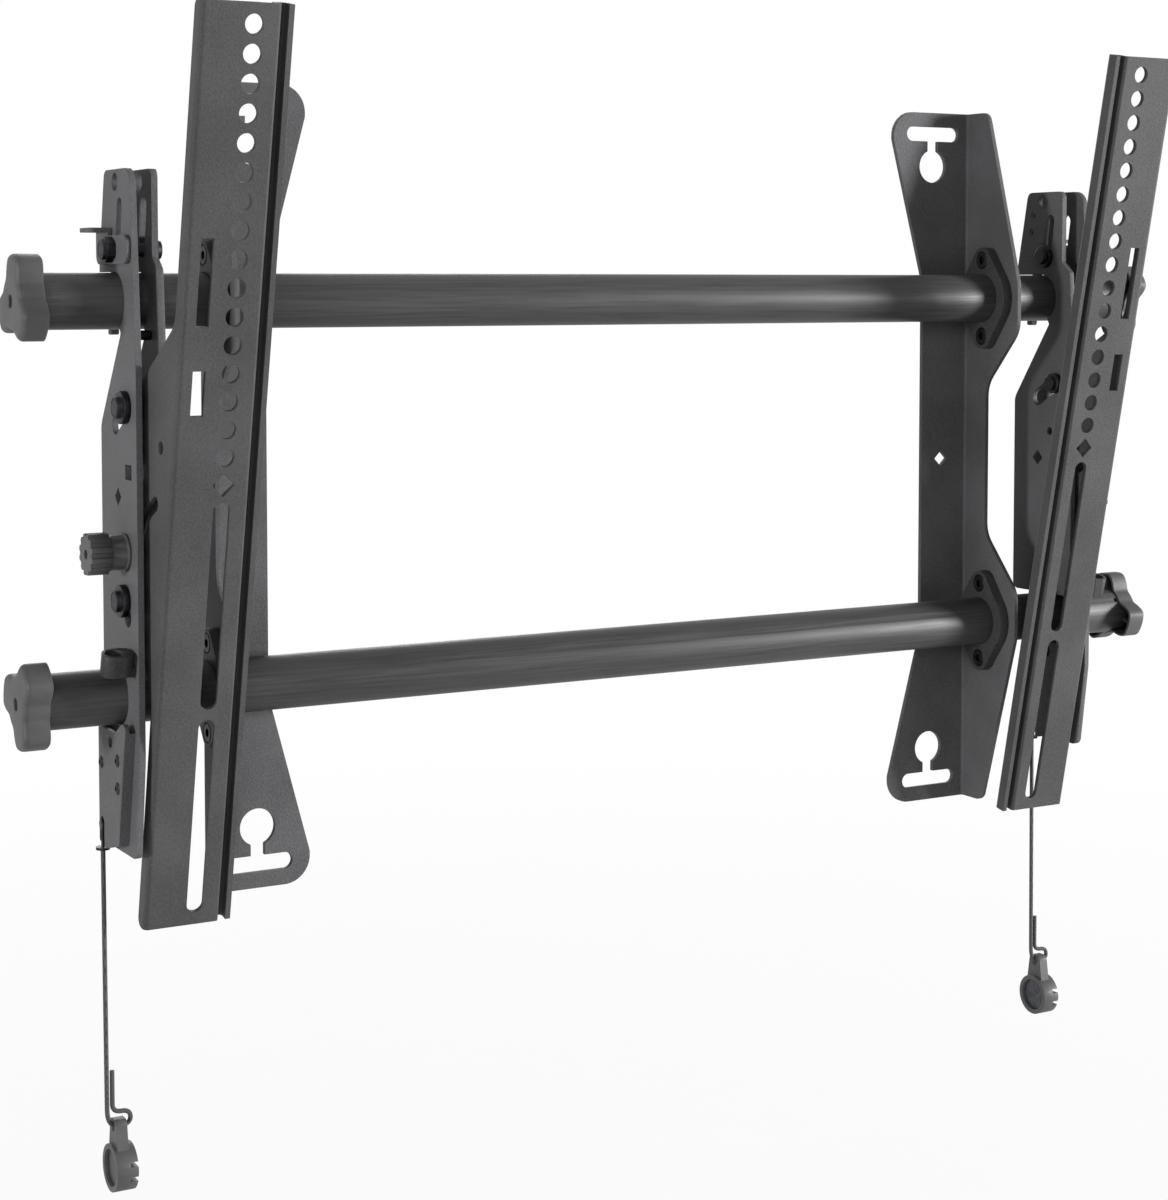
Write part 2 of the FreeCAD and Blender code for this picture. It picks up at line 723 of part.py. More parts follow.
def make_upright():
    """A folded wall upright: a keyholed wall flange and a humped side flange."""
    body = new_body("right_upright")
    half = UPRIGHT_HALF
    flange = new_sketch(body, "XZ_Plane")
    outer = f"{SIDE_X} + frame_sheet"
    corners = [(outer, half), (f"{SIDE_X} - toe_width", half, "toe_round"),
               (f"{SIDE_X} - toe_width", f"({half} - toe_straight)", "toe_round / 2"),
               (f"{SIDE_X} - foot_width", f"({half} - toe_straight - toe_slope)", "toe_round")]
    corners += [(c[0], f"-{c[1]}", *c[2:]) for c in reversed(corners)]
    outline(flange, corners)
    pad(body, flange, "frame_sheet")

    wing = new_sketch(body, "YZ_Plane", SIDE_X)
    front = "(-tube_setback - hump_reach)"
    corners = [("0", half), ("-wing_top", half, "wing_round"),
               (front, f"{TUBE_Z} + hump_above", "hump_round"),
               (front, f"{TUBE_Z} - hump_below", "hump_round"),
               ("-wing_waist", f"{TUBE_Z} - waist_drop", "hump_round")]
    corners += [(c[0], f"-({c[1]})", *c[2:]) for c in reversed(corners)]
    outline(wing, corners)
    for side in ("", "-"):
        circle(wing, TUBE_Y, f"{side}{TUBE_Z}", "tube_radius + collar_fit")
        for step in "+-":
            circle(wing, TUBE_Y, f"{side}({TUBE_Z} {step} collar_pitch)", "screw_radius + screw_fit")
    pad(body, wing, "frame_sheet")

    rings = new_sketch(body, "XZ_Plane")
    slots = new_sketch(body, "XZ_Plane")
    necks = new_sketch(body, "XZ_Plane")
    stud_x = "(stud_spacing / 2)"
    run = "(key_slot_length - key_slot_height) / 2"
    for side in ("", "-"):
        key_z = f"{side}(key_spacing / 2)"
        slot_z = f"{side}(key_spacing / 2 + key_slot_rise)"
        circle(rings, stud_x, key_z, "key_radius")
        stadium(slots, (f"{stud_x} - {run}", slot_z), (f"{stud_x} + {run}", slot_z), "key_slot_height / 2")
        outline(necks, [(f"{stud_x} - key_neck", key_z), (f"{stud_x} + key_neck", key_z),
                        (f"{stud_x} + key_neck", slot_z), (f"{stud_x} - key_neck", slot_z)])
    for sketch in (rings, slots, necks):
        cut_through(body, sketch)
    peep = new_sketch(body, "XZ_Plane")
    diamond(peep, f"({stud_x} + wall_diamond_inset)", "0", "wall_diamond")
    cut_through(body, peep)

    bend_x = value(f"{SIDE_X} + frame_sheet")
    round_edges(body, "frame_bend + frame_sheet",
                lambda e: e.BoundBox.ZLength > value(UPRIGHT_HALF)
                and abs(e.BoundBox.XMin - bend_x) < SAME and abs(e.BoundBox.YMax) < SAME
                and e.BoundBox.YLength < SAME)
    inner_y = value("-frame_sheet")
    round_edges(body, "frame_bend",
                lambda e: e.BoundBox.ZLength > value(UPRIGHT_HALF)
                and abs(e.BoundBox.XMax - value(SIDE_X)) < SAME and abs(e.BoundBox.YMin - inner_y) < SAME
                and e.BoundBox.YLength < SAME)
    pair(body, "upright")


def make_collar(name, z):
    """A two-eared clamp collar with counterbored screw holes."""
    body = new_body(f"right_{name}")
    start = f"({SIDE_X} - collar_depth)"
    hub = new_sketch(body, "YZ_Plane", start)
    circle(hub, TUBE_Y, z, "collar_hub")
    pad(body, hub, "collar_depth")
    ears = new_sketch(body, "YZ_Plane", start)
    lean = "(collar_hub - collar_ear) / collar_pitch"
    rise = f"sqrt(1 - ({lean}) ^ 2)"
    corners = []
    for back, up in ((-1, 1), (1, 1), (1, -1), (-1, -1)):
        corners.append((f"{TUBE_Y} + {back} * collar_ear * {rise}",
                        f"{z} + {up} * (collar_pitch + collar_ear * {lean})"))
    waist = [(f"{TUBE_Y} - collar_hub * {rise}", f"{z} + collar_hub * {lean}"), corners[0], corners[1],
             (f"{TUBE_Y} + collar_hub * {rise}", f"{z} + collar_hub * {lean}"),
             (f"{TUBE_Y} + collar_hub * {rise}", f"{z} - collar_hub * {lean}"), corners[2], corners[3],
             (f"{TUBE_Y} - collar_hub * {rise}", f"{z} - collar_hub * {lean}")]
    outline(ears, waist)
    pad(body, ears, "collar_depth")
    tips = new_sketch(body, "YZ_Plane", start)
    for step in "+-":
        circle(tips, TUBE_Y, f"{z} {step} collar_pitch", "collar_ear")
    pad(body, tips, "collar_depth")
    bore = new_sketch(body, "YZ_Plane", start)
    circle(bore, TUBE_Y, z, "tube_radius + collar_fit")
    for step in "+-":
        circle(bore, TUBE_Y, f"{z} {step} collar_pitch", "screw_radius + screw_fit")
    cut_through(body, bore)
    seats = new_sketch(body, "YZ_Plane", start)
    for step in "+-":
        circle(seats, TUBE_Y, f"{z} {step} collar_pitch", "screw_head + screw_fit")
    cut_blind(body, seats, "screw_head_depth", flip=True)
    keep(body, f"right_{name}")
    keep(repeat_left(body, f"left_{name}"), f"left_{name}")


def make_collar_screw(name, z):
    """A socket screw sunk in the collar and riveted through the upright."""
    head_start = f"({SIDE_X} - collar_depth)"
    head_end = f"({head_start} + screw_head_depth)"
    head = rod(f"{name}_head", head_start, head_end, TUBE_Y, z, "screw_head")
    shank = rod(f"{name}_shank", head_end, f"({SIDE_X} + frame_sheet)", TUBE_Y, z, "screw_radius")
    socket = hexagon(f"{name}_socket", head_start, f"({head_start} + screw_head_depth / 2)", TUBE_Y, z,
                     "screw_socket")
    return cut(name, fuse(f"{name}_solid", head, shank), socket)


def make_collar_screws():
    screws = []
    for place, side in (("upper", ""), ("lower", "-")):
        for step, word in (("+", "top"), ("-", "bottom")):
            screws.append(make_collar_screw(f"{place}_{word}_screw", f"{side}({TUBE_Z} {step} collar_pitch)"))
    right = group("right_collar_screws", screws)
    left = repeat_left(right, "left_collar_screws")
    keep(group("collar_screws", [right, left]), "collar_screws")


# Hangers

def tilt_slots(sketch):
    """The arc slots that the tilt bolts run in."""
    half = "bolt_radius + slot_gap"
    arc_slot(sketch, (PIVOT_Y, PIVOT_Z), "upper_arm", "(upper_angle - tilt_angle)", "upper_angle", half)
    arc_slot(sketch, (PIVOT_Y, PIVOT_Z), "lower_arm", "(-lower_angle - tilt_angle)", "(-lower_angle)", half)


def lock_slot(sketch):
    """The leaning slot of the lock bolt."""
    top = (f"{LOCK_Y} - lock_travel * sin(lock_lean)", f"{LOCK_Z} + lock_travel * cos(lock_lean)")
    stadium(sketch, (LOCK_Y, LOCK_Z), top, "lock_bolt_radius + slot_gap")


def tube_mouth(sketch, z):
    """The notch that takes a tube from behind."""
    stadium(sketch, (TUBE_Y, z), ("tube_setback", z), "tube_radius + hook_gap")


def top_hole(sketch):
    circle(sketch, "-top_hole_back", f"{TUBE_Z} + hook_rise - top_hole_drop", "top_hole_radius")


def hook_corners(tip_back):
    """The rear edge that both plates share, from the mouth's foot up to the hook's tip."""
    return [("-plate_back", f"{TUBE_Z} - mouth_drop", "2 * plate_round"),
            (f"{TUBE_Y} - mouth_reach", f"{TUBE_Z} - mouth_lip", "lip_round"),
            (TUBE_Y, TUBE_Z), (tip_back, TUBE_Z),
            (tip_back, f"{TUBE_Z} + tip_rise", "plate_round")]


def make_outer_plate():
    """The long hook plate, which also carries the latch below the lower tube."""
    body = new_body("right_outer_plate")
    face = new_sketch(body, "YZ_Plane", GAP_OUT)
    bottom = f"({LATCH_Z} - plate_drop)"
    outline(face, [("-top_back", f"{TUBE_Z} + hook_rise", "plate_round"),
                   ("-top_front", f"{TUBE_Z} + hook_rise", "2 * plate_round"),
                   ("-plate_front", f"{TUBE_Z} - brow_drop", "10 * plate_round"),
                   ("-plate_front", f"{LATCH_Z} - chin_drop", "5 * plate_round"),
                   ("-chin_front", bottom, "plate_round"),
                   ("-skirt_back", bottom, "plate_round"),
                   ("-skirt_back", LATCH_Z), ("-plate_back", LATCH_Z)] + hook_corners("-plate_back"))
    pad(body, face, "plate_sheet")
    mouths = new_sketch(body, "YZ_Plane", GAP_OUT)
    tube_mouth(mouths, TUBE_Z)
    tube_mouth(mouths, LATCH_Z)
    cut_through(body, mouths)
    holes = new_sketch(body, "YZ_Plane", GAP_OUT)
    top_hole(holes)
    lock_slot(holes)
    tilt_slots(holes)
    circle(holes, KNOB_Y, KNOB_Z, "stud_radius + bolt_fit")
    port_front = "(-plate_port_back - plate_port_width)"
    port_top = "(plate_port_base + plate_port_height)"
    outline(holes, [(port_front, "plate_port_base"), ("-plate_port_back", "plate_port_base"),
                    ("-plate_port_back", port_top), (port_front, port_top)])
    diamond(holes, "-outer_diamond_back", "outer_diamond_rise", "plate_diamond")
    cut_through(body, holes)
    pair(body, "outer_plate")


def make_inner_plate():
    """The shorter hook plate, which ends just above the lower tube."""
    body = new_body("right_inner_plate")
    face = new_sketch(body, "YZ_Plane", PLATE_IN)
    bottom = f"({LATCH_Z} + tube_radius + inner_gap)"
    outline(face, [("-top_back - plate_back", f"{TUBE_Z} + hook_rise", "plate_round"),
                   ("-inner_front", f"{TUBE_Z} + hook_rise", "plate_round"),
                   ("-inner_front", f"{TUBE_Z} + inner_step", "plate_round / 2"),
                   ("-plate_front + plate_sheet", f"{TUBE_Z} + inner_step - step_fall", "plate_round / 2"),
                   ("-plate_front", f"{TUBE_Z} - brow_drop", "10 * plate_round"),
                   ("-plate_front", bottom, "plate_round"),
                   ("-plate_back", bottom, "plate_round")] + hook_corners("-plate_back - inner_tip"))
    pad(body, face, "plate_sheet")
    mouth = new_sketch(body, "YZ_Plane", PLATE_IN)
    tube_mouth(mouth, TUBE_Z)
    cut_through(body, mouth)
    holes = new_sketch(body, "YZ_Plane", PLATE_IN)
    top_hole(holes)
    lock_slot(holes)
    tilt_slots(holes)
    circle(holes, KNOB_Y, KNOB_Z, "stud_radius + bolt_fit")
    circle(holes, "-inner_dot_back", "inner_dot_rise", "inner_dot_radius")
    diamond(holes, "-inner_diamond_back", "0", "plate_diamond")
    dimples = new_sketch(body, "YZ_Plane", PLATE_IN)
    for step in ("0", "dimple_pitch"):
        place = (f"-dimple_back + {step} * sin(lock_lean)", f"{TUBE_Z} + dimple_rise - {step} * cos(lock_lean)")
        circle(dimples, *place, "dimple_radius")
        circle(holes, *place, "dimple_eye")
    cut_through(body, holes)
    cut_blind(body, dimples, "dimple_depth", flip=True)
    pair(body, "inner_plate")


def make_plate_spacers():
    """Riveted spacers that hold the two plates apart."""
    places = (("top", "-top_spacer_front", f"{TUBE_Z} - top_spacer_drop"),
              ("middle", "-plate_back - middle_spacer_edge", f"{TUBE_Z} - mouth_drop - middle_spacer_drop"),
              ("bottom", "-plate_back - bottom_spacer_edge", f"{LATCH_Z} + bottom_spacer_lift"))
    posts = [rod(f"{word}_spacer", GAP_IN, GAP_OUT, y, z, "spacer_radius") for word, y, z in places]
    pair(group("right_plate_spacers", posts), "plate_spacers")


def make_knob_stud():
    """The stud of the tilt knob, its head pressed against the inner plate."""
    head = rod("knob_stud_head", f"({PLATE_IN} - stud_head_depth)", PLATE_IN, KNOB_Y, KNOB_Z, "stud_head")
    end = f"({PLATE_OUT} + knob_collar_length + knob_length - knob_socket_depth - knob_web)"
    shank = rod("knob_stud_shank", PLATE_IN, end, KNOB_Y, KNOB_Z, "stud_radius")
    pair(fuse("right_knob_stud", head, shank), "knob_stud")


def make_knob_collar():
    """The sleeve between the outer plate and the knob."""
    end = f"({PLATE_OUT} + knob_collar_length)"
    foot_end = f"({PLATE_OUT} + knob_foot_depth)"
    sleeve = rod("knob_sleeve", PLATE_OUT, end, KNOB_Y, KNOB_Z, "knob_collar_radius")
    foot = rod("knob_foot", PLATE_OUT, foot_end, KNOB_Y, KNOB_Z, "knob_collar_radius + knob_foot_lip")
    bore = rod("knob_sleeve_bore", PLATE_OUT, end, KNOB_Y, KNOB_Z, "stud_radius + bolt_fit")
    pair(cut("right_knob_collar", fuse("knob_sleeve_solid", sleeve, foot), bore), "knob_collar")


def make_knob():
    """The fluted thumb knob, with a hexagon socket in its end."""
    body = new_body("right_tilt_knob")
    start = f"({PLATE_OUT} + knob_collar_length + run_gap)"
    disc = new_sketch(body, "YZ_Plane", start)
    circle(disc, KNOB_Y, KNOB_Z, "knob_radius")
    pad(body, disc, "knob_length")
    flutes = new_sketch(body, "YZ_Plane", start)
    count = int(value("knob_flute_count"))
    for i in range(count):
        angle = f"({360 * i} / knob_flute_count)"
        circle(flutes, f"{KNOB_Y} + knob_radius * cos({angle})", f"{KNOB_Z} + knob_radius * sin({angle})",
               "knob_flute")
    cut_through(body, flutes)
    bore = new_sketch(body, "YZ_Plane", start)
    circle(bore, KNOB_Y, KNOB_Z, "stud_radius + bolt_fit")
    cut_blind(body, bore, "knob_length - knob_socket_depth - knob_web + run_gap", flip=True)
    socket = new_sketch(body, "YZ_Plane", f"{start} + knob_length")
    corners = []
    for i in range(6):
        corners.append((f"{KNOB_Y} + knob_socket * cos({60 * i})", f"{KNOB_Z} + knob_socket * sin({60 * i})"))
    outline(socket, corners)
    cut_blind(body, socket, "knob_socket_depth")
    pair(body, "tilt_knob")


def make_lock_eye():
    """The padlock eye: a lug that leans forward, with a round hole, on a short stem."""
    z = f"({LATCH_Z} + eye_above)"
    lug = new_body("eye_lug")
    plan = new_sketch(lug, "XY_Plane")
    root = "(eye_gap + eye_radius - eye_reach)"
    stadium(plan, (root, "0"), ("0", "0"), "eye_radius")
    circle(plan, "0", "0", "eye_hole")
    pad(lug, plan, "eye_height", midplane=True)
    lug.Placement = FreeCAD.Placement(Vector(), Rotation(Vector(1, 0, 0), value("eye_tilt")))
    for axis, text in zip("xyz", (f"{PLATE_OUT} + eye_reach", "-eye_front", z)):
        lug.setExpression(f"Placement.Base.{axis}", dim(text))
    stem = rod("eye_stem_rod", PLATE_OUT, f"({PLATE_OUT} + eye_stem_length)", "-eye_front",
               f"({z} - eye_stem_drop)", "eye_stem")
    pair(fuse("right_lock_eye", lug, stem), "lock_eye")


# Tube lock

def make_lock_slider():
    """The slide between the plates, whose lip drops behind the upper tube."""
    body = new_body("right_lock_slider")
    start = f"({GAP_OUT} - run_gap - lock_slide_sheet)"
    face = new_sketch(body, "YZ_Plane", start)
    tangent = "(tube_radius + hook_gap + lock_lip_gap)"
    lean = "tan(lock_lean)"
    bottom = f"({TUBE_Z} - lock_lip_drop)"
    hip = f"({TUBE_Z} + tube_radius + lock_hip_gap)"
    back = "(-plate_back - lock_rear_gap)"

    def lip_front(z):
        return f"{TUBE_Y} + {tangent} / cos(lock_lean) - ({z} - {TUBE_Z}) * {lean}"

    def edge(z, offset):
        return f"{LOCK_Y} + {offset} - ({z} - {LOCK_Z}) * {lean}"

    top = f"({LOCK_Z} + lock_half)"
    outline(face, [(lip_front(bottom), bottom, "lock_round"), (lip_front(hip), hip, "lock_round"),
                   (edge(hip, "-lock_half"), hip, "lock_round"), (edge(top, "-lock_half"), top, "2 * lock_round"),
                   (back + f" - ({top} - {bottom}) * {lean}", top, "2 * lock_round"),
                   (back, bottom, "lock_round")])
    pad(body, face, "lock_slide_sheet")
    bore = new_sketch(body, "YZ_Plane", start)
    circle(bore, LOCK_Y, LOCK_Z, "lock_bolt_radius + bolt_fit")
    cut_through(body, bore)
    pair(body, "lock_slider")


def make_lock_bolt():
    """The lock's bolt, with a flanged head inboard of the plates."""
    head_end = f"({PLATE_IN} - run_gap)"
    head_start = f"({head_end} - lock_head_depth)"
    head = rod("lock_head_disc", head_start, head_end, LOCK_Y, LOCK_Z, "lock_head")
    crown = rod("lock_head_crown", f"({head_start} - lock_crown_depth)", head_start, LOCK_Y, LOCK_Z, "lock_crown")
    end = f"({PLATE_OUT} + run_gap + tab_sheet + lock_nut_depth + lock_neck_depth)"
    shank = rod("lock_shank", head_end, end, LOCK_Y, LOCK_Z, "lock_bolt_radius")
    pair(fuse("right_lock_bolt", head, crown, shank), "lock_bolt")


def make_lock_nut():
    """A hexagonal nut with a round locking neck."""
    start = f"({PLATE_OUT} + run_gap + tab_sheet)"
    neck_start = f"({start} + lock_nut_depth)"
    end = f"({neck_start} + lock_neck_depth)"
    nut = hexagon("lock_nut_hex", start, neck_start, LOCK_Y, LOCK_Z, "lock_nut_radius")
    neck = rod("lock_nut_neck", neck_start, end, LOCK_Y, LOCK_Z, "lock_neck_radius")
    bore = rod("lock_nut_bore", start, end, LOCK_Y, LOCK_Z, "lock_bolt_radius + bolt_fit")
    pair(cut("right_lock_nut", fuse("lock_nut_solid", nut, neck), bore), "lock_nut")


def make_lock_tab():
    """The folded finger tab that lifts the lock."""
    body = new_body("right_lock_tab")
    start = f"({PLATE_OUT} + run_gap)"
    leg = new_sketch(body, "YZ_Plane", start)
    low, high = f"({LOCK_Z} - tab_half)", f"({LOCK_Z} + tab_half)"
    top = f"({LOCK_Z} + tab_rise)"
    outline(leg, [("-tab_front", low, "tab_round"), ("-tab_back", low, "tab_round"), ("-tab_back", top),
                  ("-tab_finger_front", top), ("-tab_finger_front", high), ("-tab_front", high, "tab_round")])
    pad(body, leg, "tab_sheet")
    finger = new_sketch(body, "XY_Plane", f"{top} - tab_sheet")
    tip = f"({start} + tab_finger)"
    outline(finger, [(start, "-tab_back"), (tip, "-tab_back", "tab_round / 2"),
                     (tip, "-tab_finger_front", "tab_round / 2"), (start, "-tab_finger_front")])
    pad(body, finger, "tab_sheet")
    bore = new_sketch(body, "YZ_Plane", start)
    circle(bore, LOCK_Y, LOCK_Z, "lock_bolt_radius + bolt_fit")
    cut_through(body, bore)
    pair(body, "lock_tab")


# Display rails

def arm_point(arm, angle):
    """A point of the rail's arm, as depth and height in the rail's own frame."""
    return f"(-face_lead + {arm} * cos({angle}))", f"(-pivot_below + {arm} * sin({angle}))"


UPPER_ARM = arm_point("upper_arm", "(upper_angle - tilt_angle)")
LOWER_ARM = arm_point("lower_arm", "(-lower_angle - tilt_angle)")


def lean_with_rail(feature):
    """Turn a piece drawn in the rail's frame to the tilt that the rail rests at."""
    turn = Rotation(Vector(1, 0, 0), value("tilt_angle")).multiply(feature.Placement.Rotation)
    feature.Placement = FreeCAD.Placement(feature.Placement.Base, turn)
    feature.setExpression("Placement.Base.y", dim(
        f"{PIVOT_Y} + face_lead * cos(tilt_angle) - pivot_below * sin(tilt_angle)"))
    feature.setExpression("Placement.Base.z", dim(
        f"{PIVOT_Z} + face_lead * sin(tilt_angle) + pivot_below * cos(tilt_angle)"))


def make_rail():
    """A folded display rail: a drilled face, a rolled hem inboard and an arm flange outboard."""
    body = new_body("right_display_rail")
    outer = f"({RAIL_MID} + rail_sheet / 2)"
    inner = f"({outer} - rail_width)"
    lip = f"({inner} - hem_groove)"
    section = new_sketch(body, "XY_Plane", "-rail_bottom")
    outline(section, [(f"{lip} - rail_sheet", "hem_lip"), (lip, "hem_lip"),
                      (lip, "hem_depth - rail_sheet", "rail_bend"),
                      (inner, "hem_depth - rail_sheet", "rail_bend"), (inner, "0", "rail_bend"),
                      (outer, "0"), (outer, "rail_sheet"), (f"{inner} + rail_sheet", "rail_sheet"),
                      (f"{inner} + rail_sheet", "hem_depth", "rail_bend + rail_sheet / 2"),
                      (f"{lip} - rail_sheet", "hem_depth", "rail_bend + rail_sheet / 2")])
    pad(body, section, "rail_top + rail_bottom")

    flange = new_sketch(body, "YZ_Plane", f"{RAIL_MID} - rail_sheet / 2")
    wide = "1.5 * arm_round"
    outline(flange, [("0", "rail_top"), ("flange_depth", "rail_top", "flange_round"),
                     ("flange_depth", "arm_top", wide), ("flange_reach", "arm_shoulder", "arm_round"),
                     ("flange_reach", "-arm_heel", "arm_round"), ("arm_toe_reach", "-arm_toe", "arm_round"),
                     ("flange_depth", "-arm_bottom", wide), ("flange_depth", "-rail_bottom", "flange_round"),
                     ("0", "-rail_bottom")])
    for place in (UPPER_ARM, LOWER_ARM):
        circle(flange, *place, "bolt_radius + bolt_fit")
    circle(flange, "arm_hole_depth", "arm_hole_rise", "arm_hole_radius")
    arc_slot(flange, ("(-face_lead)", "(-pivot_below)"), "knob_arm", "(knob_angle - tilt_angle)",
             "knob_slot_end", "stud_radius + slot_gap")
    pad(body, flange, "rail_sheet")

    column = f"({outer} - rail_hole_inset)"
    holes = new_sketch(body, "XZ_Plane")
    for i in range(1, int(value("rail_hole_count")) + 1):
        circle(holes, column, f"{i} * rail_hole_pitch", "rail_hole_radius")
    diamond(holes, column, "0", "rail_diamond")
    middle = "slot_bridge / 2"
    stadium(holes, (column, "-slot_first - rail_slot_radius"),
            (column, f"-slot_split + {middle} + rail_slot_radius"), "rail_slot_radius")
    stadium(holes, (column, f"-slot_split - {middle} - rail_slot_radius"),
            (column, "-slot_last + rail_slot_radius"), "rail_slot_radius")
    edge = f"({outer} - window_inset)"
    far = f"({edge} - window_width)"
    for low, high in (("window_low", "window_high"), ("port_low", "port_high")):
        outline(holes, [(far, low), (edge, low), (edge, high), (far, high)])
    cut_blind(body, holes, "rail_sheet")
    round_edges(body, "rail_sheet",
                lambda e: e.BoundBox.ZLength > value("rail_top")
                and abs(e.BoundBox.XMax - value(outer)) < SAME and abs(e.BoundBox.YMin) < SAME
                and e.BoundBox.YLength < SAME and e.BoundBox.XLength < SAME)
    lean_with_rail(body)
    pair(body, "display_rail")


def make_tilt_fasteners():
    """Tilt bolts with a crowned head inboard, a flanged nut outboard and washers between the plates."""
    bolts, nuts, washers = [], [], []
    head_end = f"({PLATE_IN} - run_gap)"
    head_start = f"({head_end} - bolt_head_depth)"
    nut_start = f"({PLATE_OUT} + run_gap)"
    nut_end = f"({nut_start} + bolt_head_depth)"
    shank_end = f"({nut_end} + bolt_crown_depth)"
    rail_in = f"({RAIL_MID} - rail_sheet / 2)"
    rail_out = f"({RAIL_MID} + rail_sheet / 2)"
    for word, (y, z) in (("upper", UPPER_ARM), ("lower", LOWER_ARM)):
        head = rod(f"{word}_bolt_head", head_start, head_end, y, z, "button_radius")
        crown = rod(f"{word}_bolt_crown", f"({head_start} - bolt_crown_depth)", head_start, y, z, "button_crown")
        shank = rod(f"{word}_bolt_shank", head_end, shank_end, y, z, "bolt_radius")
        bolts.append(fuse(f"{word}_tilt_bolt", head, crown, shank))
        flange = rod(f"{word}_nut_flange", nut_start, nut_end, y, z, "bolt_head")
        cap = rod(f"{word}_nut_crown", nut_end, shank_end, y, z, "bolt_crown")
        bore = rod(f"{word}_nut_bore", nut_start, shank_end, y, z, "bolt_radius + bolt_fit")
        nuts.append(cut(f"{word}_tilt_nut", fuse(f"{word}_nut_solid", flange, cap), bore))
        for place, start, end in (("inner", f"({GAP_IN} + run_gap)", rail_in),
                                  ("outer", rail_out, f"({GAP_OUT} - run_gap)")):
            disc = rod(f"{word}_{place}_disc", start, end, y, z, "washer_radius")
            eye = rod(f"{word}_{place}_eye", start, end, y, z, "bolt_radius + bolt_fit")
            washers.append(cut(f"{word}_{place}_washer", disc, eye))
    for name, pieces in (("tilt_bolts", bolts), ("tilt_nuts", nuts), ("tilt_washers", washers)):
        bundle = group(f"right_{name}", pieces)
        lean_with_rail(bundle)
        pair(bundle, name)


# Latch

REAR_RIVET = ("-latch_back - rear_rivet_edge", f"({LATCH_Z} - rear_rivet_drop)")
UPPER_RIVET = ("-front_rivet_front", f"({LATCH_Z} - front_rivet_drop)")
LOWER_RIVET = ("-front_rivet_front", f"({LATCH_Z} - front_rivet_drop - front_rivet_pitch)")


def make_latch_cover():
    """The latch's cover: a shaped plate with a wall along its front and a keyhole for the pull."""
    body = new_body("latch_cover")
    top = f"({LATCH_Z} - latch_top)"
    nose = f"({LATCH_Z} - latch_nose)"
    bottom = f"({LATCH_Z} - latch_bottom)"
    brow = ("-latch_front", f"{LATCH_Z} - latch_brow")
    toe = ("-latch_toe", f"{bottom} + latch_toe_lift")
    soft = "2 * latch_round"
    face = new_sketch(body, "YZ_Plane", COVER_IN)
    outline(face, [("-latch_back", top, "latch_round"), ("-latch_step_front", top, soft),
                   ("-latch_nose_front", nose, soft), (*brow, soft), (*toe, "latch_round"),
                   ("-pull_back - 2 * key_half", bottom, "latch_round"),
                   ("-latch_back", f"{bottom} + latch_heel_lift", "latch_round")])
    pad(body, face, "latch_cover_sheet")
    wall = new_sketch(body, "YZ_Plane", PLATE_OUT)
    wall_top = f"{brow[1]} - {soft}"
    lean = f"(latch_front - latch_toe) / (({brow[1]}) - ({toe[1]}))"
    start = f"{brow[0]} + {soft} * {lean}"
    outline(wall, [(start, wall_top), toe, (f"{toe[0]} + latch_wall", toe[1]), (f"{start} + latch_wall", wall_top)])
    pad(body, wall, "latch_gap + latch_cover_sheet / 2")
    seat = new_sketch(body, "YZ_Plane", f"{PLATE_OUT} + run_gap")
    seat_front, seat_back = "-spring_front - seat_half", "-spring_front + seat_half"
    seat_low = f"{SPRING_LOW} - latch_wall"
    outline(seat, [(seat_front, seat_low), (seat_back, seat_low), (seat_back, SPRING_LOW), (seat_front, SPRING_LOW)])
    pad(body, seat, "latch_gap - run_gap + latch_cover_sheet / 2")
    holes = new_sketch(body, "YZ_Plane", COVER_IN)
    circle(holes, "-cover_eye_front", f"{LATCH_Z} - cover_eye_drop", "cover_eye_radius")
    stadium(holes, ("-pull_back", f"{LATCH_Z} - pull_pin_drop + pull_pin_end"),
            ("-pull_back", f"{bottom} - 2 * key_half"), "key_half")
    for place in (REAR_RIVET, UPPER_RIVET, LOWER_RIVET):
        circle(holes, *place, "rivet_radius + bolt_fit")
    cut_through(body, holes)
    on_left_faces(body, "latch_cover")


def make_latch_rivets():
    """Shouldered rivets that stand the cover off the plate and guide the pawl."""
    rivets = []
    for word, (y, z) in (("rear", REAR_RIVET), ("upper", UPPER_RIVET), ("lower", LOWER_RIVET)):
        shank = rod(f"{word}_rivet_shank", PLATE_OUT, COVER_OUT, y, z, "rivet_radius")
        head = rod(f"{word}_rivet_head", COVER_OUT, f"({COVER_OUT} + rivet_head_depth)", y, z, "rivet_head")
        dimple = rod(f"{word}_rivet_dimple", f"({COVER_OUT} + rivet_head_depth / 3)",
                     f"({COVER_OUT} + rivet_head_depth)", y, z, "rivet_radius / 2")
        rivets.append(cut(f"{word}_rivet", fuse(f"{word}_rivet_solid", shank, head), dimple))
    on_left_faces(group("latch_rivet_set", rivets), "latch_rivets")


